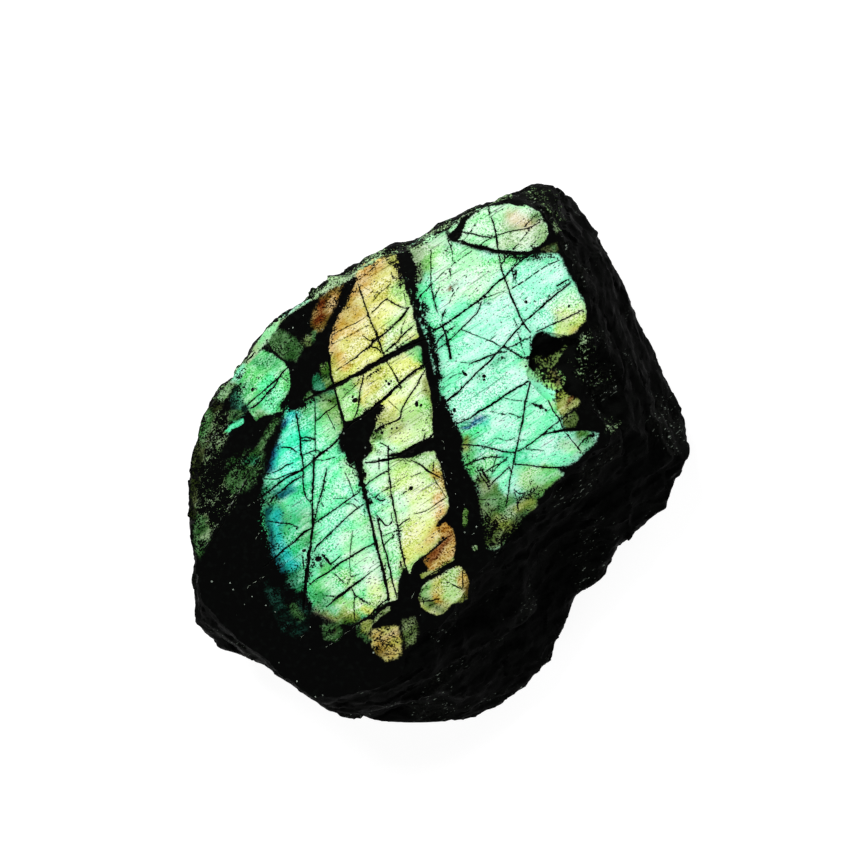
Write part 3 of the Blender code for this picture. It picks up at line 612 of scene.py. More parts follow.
    ([(16.9, 4.8), (17.9, 5.7), (18.9, 5.9), (19.3, 5.1), (18.9, 4.0), (17.6, 3.7)],
     "sage", 0.2, 0.4, [
    ]),
    # Glint trail: painted highlights, sparse pale specks on the stone.
    ([(19.2, 15.3), (20.1, 16.7), (21.0, 17.8), (21.5, 17.1), (20.8, 15.8), (19.8, 14.7)],
     "pebble", 0.4, 0.66, [
    ]),
    # Glint patch: painted highlights, sparse pale specks on the stone.
    ([(20.8, 9.9), (21.6, 11.3), (22.7, 11.9), (24.2, 12.2), (24.7, 11.3), (23.6, 10.3), (22.2, 9.5)],
     "pebble", 0.4, 0.62, [
    ]),
    # Glint foot: painted highlights, sparse pale specks on the stone.
    ([(23.3, 4.8), (24.1, 5.4), (25.3, 5.1), (25.4, 3.7), (24.6, 2.8), (23.6, 3.4)],
     "pebble", 0.4, 0.64, [
    ]),
    # Glint bed: painted highlights, sparse pale specks on the stone.
    ([(17.1, 13.8), (19.1, 15.3), (21.0, 16.1), (22.5, 14.7), (23.0, 12.7), (21.9, 11.0), (19.9, 9.9),
      (18.5, 11.0), (17.6, 12.4)],
     "pebble", 0.4, 0.78, [
    ]),
    # Olive sliver.
    ([(3.3, -7.6), (3.8, -7.9), (3.8, -9.3), (3.4, -10.4), (3.0, -9.8)],
     "olive", 0.08, 0.5, [
    ]),
    # Crumb.
    ([(4.5, -12.8), (5.1, -12.8), (5.2, -13.5), (4.7, -13.6)],
     "lichen", 0.06, 0.2, [
    ]),
    # Bevel field.
    ([(-25.4, 14.8), (-24.1, 14.3), (-22.5, 13.2), (-21.5, 11.9), (-21.3, 10.6), (-21.4, 9.1),
      (-22.1, 7.7), (-22.4, 6.1), (-25.3, 5.3), (-26.3, 4.7), (-27.0, 6.0), (-27.8, 7.0), (-28.7, 8.0),
      (-28.5, 9.7), (-28.0, 11.9), (-27.4, 13.2), (-26.4, 13.9)],
     "green", 0.12, 0.15, [
        ("emerald", 1.3, (-26.2, 13.4), (-24.8, 13.6), (-23.3, 12.8)),
        ("green", 1.4, (-26.8, 11.1), (-25.4, 11.6)),
        ("emerald", 1.0, (-28.1, 10.0), (-27.4, 8.8), (-27.9, 9.1)),
        ("mint", 1.3, (-25.3, 9.9), (-23.9, 10.8)),
        ("emerald", 1.4, (-25.3, 7.0), (-23.3, 7.9)),
        ("green", 1.1, (-22.7, 9.6), (-22.0, 8.8)),
        ("patina", 0.8, (-26.4, 5.7), (-25.3, 6.0)),
        ("jade", 0.7, (-28.4, 8.0), (-27.6, 7.1)),
        ("mint", 1.3, (-25.0, 9.6), (-23.4, 8.6)),
        ("mint", 1.0, (-25.0, 7.5), (-23.6, 6.5)),
    ]),
    # Bevel brown.
    ([(-13.5, 24.2), (-15.5, 23.4), (-17.2, 21.8), (-18.1, 19.8), (-18.2, 18.1), (-17.3, 17.4),
      (-16.3, 18.2), (-15.2, 20.6), (-14.1, 22.6)],
     "bronze", 0.3, 0.36, [
        ("bronze", 0.7, (-15.4, 22.4), (-16.8, 20.4)),
        ("tan", 0.7, (-14.7, 22.3), (-15.6, 20.4)),
        ("rust", 0.7, (-16.8, 21.2), (-17.4, 19.2)),
    ]),
    # Bevel olive.
    ([(-19.5, 16.6), (-18.8, 17.0), (-18.2, 16.7), (-18.5, 15.4), (-19.3, 15.4)],
     "sage", 0.3, 0.5, [
    ]),
    # Bevel grey.
    ([(-18.3, 17.4), (-17.5, 17.5), (-17.8, 16.0), (-18.3, 15.8)],
     "fern", 0.2, 0.4, [
    ]),
    # Bevel pine.
    ([(-24.3, 16.8), (-22.5, 17.6), (-20.5, 16.2), (-19.5, 15.0), (-20.5, 13.3), (-22.2, 13.6),
      (-23.9, 14.8), (-24.7, 15.9)],
     "fern", 0.35, 0.42, [
        ("fern", 0.8, (-23.1, 15.6), (-21.6, 14.7)),
    ]),
    # Bevel lagoon.
    ([(-30.0, 9.7), (-28.5, 9.4), (-28.5, 8.0), (-27.3, 6.5), (-27.9, 5.7), (-29.4, 6.3), (-30.0, 8.0)],
     "pine", 0.3, 0.45, [
        ("jade", 0.7, (-29.1, 8.5), (-28.5, 7.4)),
    ]),
    # Bevel glint.
    ([(-30.8, 3.4), (-29.2, 4.4), (-28.0, 5.1), (-27.9, 4.5), (-29.0, 3.7), (-30.5, 3.0)],
     "sea", 0.06, 0.2, [
    ]),
    # Bevel dark green.
    ([(-30.1, -1.1), (-27.7, 0.3), (-25.2, 0.3), (-25.2, -2.2), (-26.9, -4.5), (-28.9, -5.6),
      (-30.4, -4.8)],
     "fern", 0.5, 0.56, [
        ("fern", 0.8, (-29.0, -1.1), (-27.8, -3.1), (-28.3, -4.8)),
        ("jade", 0.6, (-27.5, -1.1), (-26.1, -0.3)),
    ]),
    # Bevel strip.
    ([(-23.4, 5.2), (-22.8, 4.8), (-23.8, 3.1), (-24.7, 1.6), (-25.8, -0.1), (-27.2, -1.7),
      (-28.4, -2.9), (-29.0, -2.5), (-27.2, -0.5), (-25.8, 1.2), (-24.7, 3.4)],
     "fern", 0.25, 0.4, [
        ("fern", 0.6, (-24.1, 3.4), (-25.5, 1.2)),
    ]),
    # Bevel patch.
    ([(-30.2, 6.0), (-28.8, 6.5), (-27.9, 5.7), (-29.0, 4.8), (-30.2, 4.6)],
     "fern", 0.2, 0.45, [
        ("pine", 0.6, (-29.1, 5.7)),
    ]),
    # Left grey.
    ([(-18.0, 11.3), (-17.3, 11.4), (-16.7, 10.3), (-16.2, 9.0), (-17.9, 9.2), (-18.1, 10.2)],
     "jade", 0.2, 0.3, [
        ("jade", 0.7, (-17.2, 9.9)),
    ]),
    # Left grey b.
    ([(-19.4, 7.8), (-18.6, 8.9), (-17.9, 8.5), (-18.0, 7.9), (-19.3, 7.2)],
     "fern", 0.12, 0.35, [
    ]),
    # Left leaf.
    ([(-16.9, 12.7), (-15.7, 13.0), (-15.6, 11.6), (-15.3, 9.6), (-16.2, 9.3), (-16.7, 10.7)],
     "olive", 0.2, 0.35, [
        ("fern", 0.6, (-15.9, 11.0)),
    ]),
    # Rind.
    ([(-7.7, 29.5), (-10.3, 29.4), (-13.1, 28.3), (-15.4, 26.9), (-18.0, 25.4), (-20.3, 23.7),
      (-22.4, 21.9), (-24.6, 20.1), (-26.2, 18.2), (-28.5, 15.5), (-30.2, 13.4), (-31.6, 11.4),
      (-33.2, 9.1), (-31.9, 8.3), (-31.1, 7.4), (-30.0, 8.8), (-28.8, 10.0), (-28.0, 11.4),
      (-27.3, 12.9), (-25.4, 15.1), (-23.4, 17.3), (-22.8, 18.9), (-21.2, 20.0), (-18.2, 21.8),
      (-16.1, 23.1), (-13.4, 24.0), (-11.7, 25.7), (-7.2, 27.8)],
     "pebble", 0.15, 0.38, [
        ("pale mint", 1.3, (-25.4, 16.5), (-23.7, 18.2)),
        ("aqua", 1.0, (-29.1, 10.8), (-28.1, 12.2)),
        ("pebble", 1.1, (-17.1, 23.8), (-14.5, 24.6)),
        ("ice", 0.8, (-22.3, 20.2), (-20.0, 21.9)),
        ("pebble", 0.8, (-10.0, 27.7), (-12.5, 26.3)),
        ("patina", 1.0, (-31.7, 8.5), (-30.0, 9.7)),
    ]),
    # Rind end.
    ([(-6.9, 28.4), (-7.0, 30.2), (-4.3, 31.3), (-1.2, 32.8), (1.0, 34.0), (1.3, 32.8), (-2.4, 30.8),
      (-5.2, 29.2)],
     "pebble", 0.15, 0.44, [
        ("ice", 0.7, (-4.3, 30.2), (-2.4, 31.2)),
    ]),
    # Crest.
    ([(-6.9, 28.5), (-6.9, 30.2), (-4.3, 31.3), (-1.2, 32.8), (1.6, 34.5), (4.7, 36.2), (7.8, 37.9),
      (11.2, 39.0), (13.2, 39.0), (13.2, 37.3), (10.6, 36.6), (7.8, 35.8), (5.3, 34.8), (3.0, 33.5),
      (0.7, 31.9), (-2.4, 30.8), (-5.2, 29.4)],
     "pebble", 0.2, 0.46, [
        ("lichen", 0.8, (4.1, 34.8), (8.4, 36.8)),
    ]),
    # Crest end.
    ([(13.2, 39.0), (16.3, 38.2), (17.7, 36.5), (18.5, 33.9), (17.7, 32.8), (16.3, 31.4), (15.7, 32.8),
      (15.0, 34.2), (14.0, 35.9), (12.6, 36.8)],
     "lichen", 0.3, 0.52, [
    ]),
    # Rind low.
    ([(-32.6, 7.7), (-33.6, 5.6), (-34.6, 2.7), (-35.2, -0.1), (-35.6, -3.7), (-35.4, -9.3),
      (-34.7, -9.3), (-34.1, -5.1), (-33.9, -1.6), (-32.8, 2.0), (-32.0, 4.8), (-31.1, 7.1)],
     "moss", 0.3, 0.5, [
        ("patina", 1.1, (-33.1, 5.6), (-34.3, 2.0)),
    ]),
    # Left specks.
    ([(-32.3, 6.5), (-30.8, 6.0), (-30.2, 4.1), (-30.5, 2.0), (-31.6, -0.1), (-31.0, -3.0),
      (-30.1, -5.8), (-28.9, -6.5), (-30.3, -8.6), (-32.3, -10.7), (-33.7, -12.8), (-34.5, -10.7),
      (-34.8, -7.2), (-34.2, -3.7), (-33.6, -0.1), (-32.8, 3.4)],
     "lichen", 0.4, 0.7, [
    ]),
    # Left rough.
    ([(-34.6, -6.5), (-33.0, -6.2), (-30.6, -7.2), (-30.9, -8.7), (-32.3, -10.7), (-33.4, -13.0),
      (-34.0, -14.4), (-34.6, -13.3), (-34.8, -10.0)],
     "fern", 0.4, 0.5, [
        ("lichen", 0.7, (-33.3, -12.1), (-32.0, -10.1)),
        ("moss", 0.8, (-33.2, -7.9), (-32.3, -8.7)),
    ]),
)

# Where the flash dims in dark grains: how much, radius and path.
SHADES = (
    (1.0, 2.0, (-9.7, 5.1), (-11.7, 3.1), (-12.8, 1.3), (-12.2, -0.1)),
    (1.0, 1.4, (-8.6, 6.5), (-10.5, 4.5)),
    (1.0, 1.5, (-5.5, 28.8), (-4.6, 25.3), (-3.8, 21.7), (-2.8, 18.2)),
    (0.95, 1.7, (-2.4, 17.8), (-1.4, 15.2), (-0.7, 12.4), (-0.4, 9.6)),
    (0.7, 1.3, (-2.5, 22.0), (-1.9, 19.2)),
    (0.6, 2.0, (-4.9, 27.1), (-3.8, 23.7)),
    (1.0, 1.4, (-0.1, 8.2), (0.7, 5.9), (2.0, 3.7)),
    (0.8, 1.0, (2.6, 2.0), (2.7, -0.8), (3.8, -3.3)),
    (0.5, 1.0, (3.0, 2.0), (3.5, -1.1), (4.4, -3.6)),
    (0.5, 3.4, (-5.0, 27.7), (-4.2, 25.1)),
    (0.35, 1.7, (-4.6, 27.9), (-2.9, 28.8)),
    (0.48, 1.1, (-2.4, 15.4), (-5.0, 14.4), (-6.9, 13.3)),
    (0.5, 1.1, (-8.6, 12.4), (-11.4, 10.7), (-13.9, 9.3)),
    (0.85, 1.5, (-12.2, 24.9), (-13.8, 21.8), (-15.2, 18.7)),
    (0.5, 2.8, (-12.8, 23.2), (-14.2, 19.2)),
    (0.55, 1.1, (-15.5, 16.8), (-15.5, 13.3)),
    (0.7, 1.1, (-7.7, 27.9), (-6.2, 26.5)),
    (0.9, 2.8, (-26.2, -6.2), (-25.9, -10.7), (-24.4, -16.1), (-21.3, -20.6)),
    (0.4, 3.7, (-24.9, -6.5), (-24.1, -12.8), (-21.3, -17.7)),
    (0.6, 2.0, (-25.2, -6.5), (-24.9, -9.3)),
    (0.45, 2.3, (-22.0, -9.3), (-23.4, -6.5)),
    (0.35, 2.5, (-21.3, -12.8), (-19.9, -14.9)),
    (0.6, 1.1, (-18.4, -12.1), (-18.7, -17.7), (-19.2, -22.0)),
    (0.65, 1.3, (-17.9, -13.5), (-17.0, -15.8)),
    (0.55, 1.1, (-18.2, -17.0), (-18.6, -20.3)),
    (0.55, 1.4, (-17.3, -22.3), (-15.4, -23.4), (-12.8, -23.7)),
    (0.4, 2.0, (-17.0, -20.6), (-15.6, -22.5)),
    (0.8, 1.1, (-11.2, -1.7), (-10.3, -4.8), (-10.0, -6.2)),
    (0.3, 0.8, (-9.1, -10.7), (-8.1, -14.9), (-7.2, -19.1)),
    (0.45, 1.0, (-5.2, -14.9), (-5.8, -18.4)),
    (0.6, 1.0, (9.1, 27.8), (11.2, 28.0), (13.3, 27.7)),
    (0.6, 0.8, (5.5, 21.7), (6.9, 21.7)),
    (0.6, 1.0, (9.2, 14.4), (8.3, 13.3), (7.5, 12.4)),
    (0.34, 1.4, (12.6, 15.4), (11.7, 13.0), (13.1, 11.6)),
    (0.5, 2.3, (4.1, 1.2), (4.1, -1.7), (5.5, -3.6)),
    (0.62, 4.8, (6.1, -8.1), (7.6, -11.8), (9.8, -13.2)),
    (0.3, 3.4, (9.7, -7.6), (12.6, -7.6)),
    (0.4, 2.5, (14.7, -4.3), (16.8, -2.9)),
    (0.4, 1.7, (11.7, -6.7), (12.8, -8.1)),
    (0.2, 2.5, (11.2, -4.8), (14.0, -4.3)),
    (0.45, 1.4, (16.8, -1.9), (18.9, -0.8), (21.0, 1.2)),
    (0.5, 1.1, (-0.1, 17.5), (0.7, 15.4)),
    (0.5, 1.0, (16.2, 7.9), (17.9, 7.1)),
    (0.6, 1.1, (17.6, 5.1), (18.2, 4.0)),
    (0.5, 1.3, (16.8, 11.6), (16.2, 9.3)),
    (0.6, 1.1, (14.8, 13.0), (16.2, 14.1)),
    (0.55, 1.3, (14.0, 29.4), (12.6, 28.8)),
    (0.4, 1.3, (14.6, 32.2), (15.1, 30.5)),
    (0.45, 2.0, (-8.9, -26.2), (-6.9, -27.6)),
    (0.6, 1.7, (-4.6, -25.1)),
    (0.7, 1.4, (-15.6, -25.1)),
    (0.45, 1.4, (-1.5, -20.3), (-0.1, -21.4)),
    (0.65, 1.7, (-22.0, -20.6), (-21.3, -23.4)),
    (0.35, 1.4, (-26.4, 13.4), (-23.5, 13.6)),
    (0.4, 1.1, (-24.5, 8.8), (-26.2, 7.1)),
    (0.6, 1.3, (-22.5, 16.2), (-21.3, 14.5)),
    (0.45, 1.1, (-17.1, 20.1), (-15.7, 21.8)),
    (0.5, 2.0, (-29.1, -2.2), (-26.9, -0.8)),
    (0.5, 1.1, (-25.2, 1.2), (-26.9, -1.1)),
    (0.35, 1.7, (-15.7, 23.9), (-18.5, 21.8), (-21.4, 19.7)),
    (0.5, 1.7, (-34.3, 3.4), (-34.9, -2.3), (-35.3, -7.9)),
    (0.95, 1.7, (-22.1, 7.1), (-20.1, 7.4)),
    (0.6, 1.4, (-20.1, 7.4), (-17.9, 7.6), (-15.6, 8.2)),
    (0.7, 1.1, (-22.7, 4.8), (-23.2, 2.6)),
    (0.35, 1.7, (-16.7, 6.9), (-15.0, 5.5), (-14.2, 3.4)),
    (0.35, 1.1, (-14.8, 1.3), (-13.9, -0.8), (-12.8, -1.1)),
    (0.7, 1.3, (-10.0, 3.1), (-8.0, 3.7)),
    (0.4, 1.4, (-9.1, 4.1), (-6.9, 4.1), (-5.0, 5.1)),
    (0.45, 1.1, (-2.2, 11.2), (-1.5, 7.6), (-1.2, 4.1)),
    (0.3, 1.4, (-5.0, 4.1), (-2.9, 5.5)),
    (0.75, 1.3, (-6.0, 26.8), (-5.5, 24.0)),
    (0.6, 1.7, (-15.6, 15.3), (-15.1, 18.1), (-13.7, 20.9)),
    (0.6, 1.3, (-12.3, 25.2), (-11.8, 22.9)),
    (0.35, 2.3, (-10.7, 25.3), (-9.3, 26.5)),
    (0.5, 1.4, (-13.5, 23.2), (-14.5, 21.8), (-15.9, 19.7)),
    (0.35, 2.0, (-17.8, 19.0), (-16.4, 20.7)),
    (0.3, 3.1, (-25.4, 11.9), (-24.2, 9.1), (-25.3, 6.5)),
    (0.45, 1.3, (-22.0, 11.6), (-21.3, 9.6), (-22.1, 7.7)),
    (0.5, 1.3, (-27.9, 7.7), (-26.2, 5.1), (-23.8, 5.4)),
    (0.45, 1.3, (-28.1, 12.7), (-28.5, 9.8), (-28.1, 8.0)),
    (0.5, 1.7, (-22.1, 15.5), (-23.1, 16.5)),
    (0.6, 1.4, (-29.4, 8.5), (-28.5, 7.4)),
    (0.55, 1.7, (-29.0, -2.2), (-26.9, -0.8)),
    (0.6, 1.3, (-27.0, 1.4), (-25.3, 3.1), (-23.3, 4.8)),
    (0.6, 2.0, (-33.2, 6.3), (-34.3, 2.0), (-34.9, -3.7)),
    (0.35, 1.7, (-27.1, 14.8), (-24.0, 17.6)),
    (0.45, 2.0, (-8.6, -26.2), (-6.9, -27.6)),
    (0.5, 1.7, (-8.3, -24.8), (-6.6, -24.5)),
    (0.55, 1.1, (-15.6, -24.8)),
    (0.5, 1.3, (-4.6, -24.5), (-4.3, -26.2)),
    (0.55, 1.7, (-2.7, -19.4), (-1.5, -21.4), (0.5, -22.3)),
    (0.25, 0.8, (2.4, -20.6), (3.8, -19.4)),
    (0.25, 1.0, (4.1, -17.0), (4.1, -19.1)),
    (0.6, 1.1, (-2.6, -15.2), (-1.8, -14.3)),
    (0.75, 1.4, (-3.1, -18.3), (-2.7, -20.8)),
    (0.35, 1.4, (-0.1, -13.8), (0.7, -12.8), (1.6, -11.4)),
    (0.35, 1.1, (-1.2, -14.9), (0.4, -14.9)),
    (0.75, 1.5, (4.7, -3.6), (5.4, -6.4), (5.9, -10.0), (6.6, -12.8)),
    (0.6, 1.7, (8.3, -12.8), (10.5, -11.0), (12.6, -8.6)),
    (0.45, 1.4, (13.6, -6.4), (15.1, -4.8), (16.8, -3.1)),
    (0.4, 1.1, (16.8, -2.5), (18.9, -1.4)),
    (0.7, 1.4, (20.7, 1.7), (22.2, 2.8)),
    (0.6, 1.3, (14.0, 28.0), (16.4, 28.0)),
    (0.5, 1.1, (12.6, 17.5)),
    (0.4, 1.4, (4.1, 0.6), (4.7, -1.7)),
    (0.2, 1.4, (11.2, -2.5), (14.0, -3.6)),
    (0.3, 1.4, (2.0, 23.8)),
    (0.45, 1.3, (1.3, 30.5), (1.3, 28.8)),
    (0.45, 1.7, (14.6, 30.8), (13.4, 29.4)),
    (0.35, 1.4, (13.4, 33.4), (14.6, 31.9)),
    (0.5, 1.3, (12.7, 16.1), (12.7, 14.4)),
    (0.4, 0.8, (5.2, 11.6), (5.8, 10.7)),
    (0.45, 1.1, (-2.9, 27.1), (-3.5, 25.3)),
    (0.3, 2.3, (-20.4, -7.6), (-22.1, -10.7)),
    (0.4, 1.1, (-17.3, -14.2), (-16.2, -15.2)),
    (0.4, 1.1, (-19.3, -15.6), (-19.0, -17.7)),
    (0.35, 1.3, (-18.5, -20.6), (-16.8, -22.3)),
    (0.4, 1.0, (-10.7, -4.2), (-10.0, -6.4)),
    (0.35, 1.0, (-5.8, -18.4), (-5.2, -16.9)),
    (0.4, 1.0, (-5.5, -0.2), (-4.6, -1.1)),
    (0.3, 1.7, (-1.2, -19.4), (-0.1, -20.6)),
    (0.45, 1.4, (-1.8, -20.6), (1.3, -21.4)),
    (0.4, 1.4, (14.9, 34.2), (13.2, 35.1)),
    (0.35, 2.0, (16.8, 18.2), (19.6, 18.2)),
    (0.45, 1.3, (-5.8, 28.8), (-0.1, 30.8)),
    (0.4, 2.0, (-4.6, 28.8), (-2.9, 27.1)),
    (0.35, 1.7, (-25.9, 4.8), (-23.9, 6.0)),
    (0.4, 2.0, (16.8, 2.0), (21.3, 2.6)),
    (0.5, 1.1, (17.6, 7.1), (18.8, 7.6)),
    (0.42, 1.4, (-9.7, 28.0), (-14.3, 25.8), (-20.0, 22.4)),
    (0.42, 1.4, (-22.8, 19.9), (-27.1, 15.1)),
    (0.35, 1.4, (16.2, 10.5), (17.4, 9.9)),
    (0.6, 2.8, (11.2, -6.4), (14.7, -4.8)),
    (0.45, 3.7, (-24.7, -12.1), (-22.4, -16.9), (-20.1, -20.3)),
)

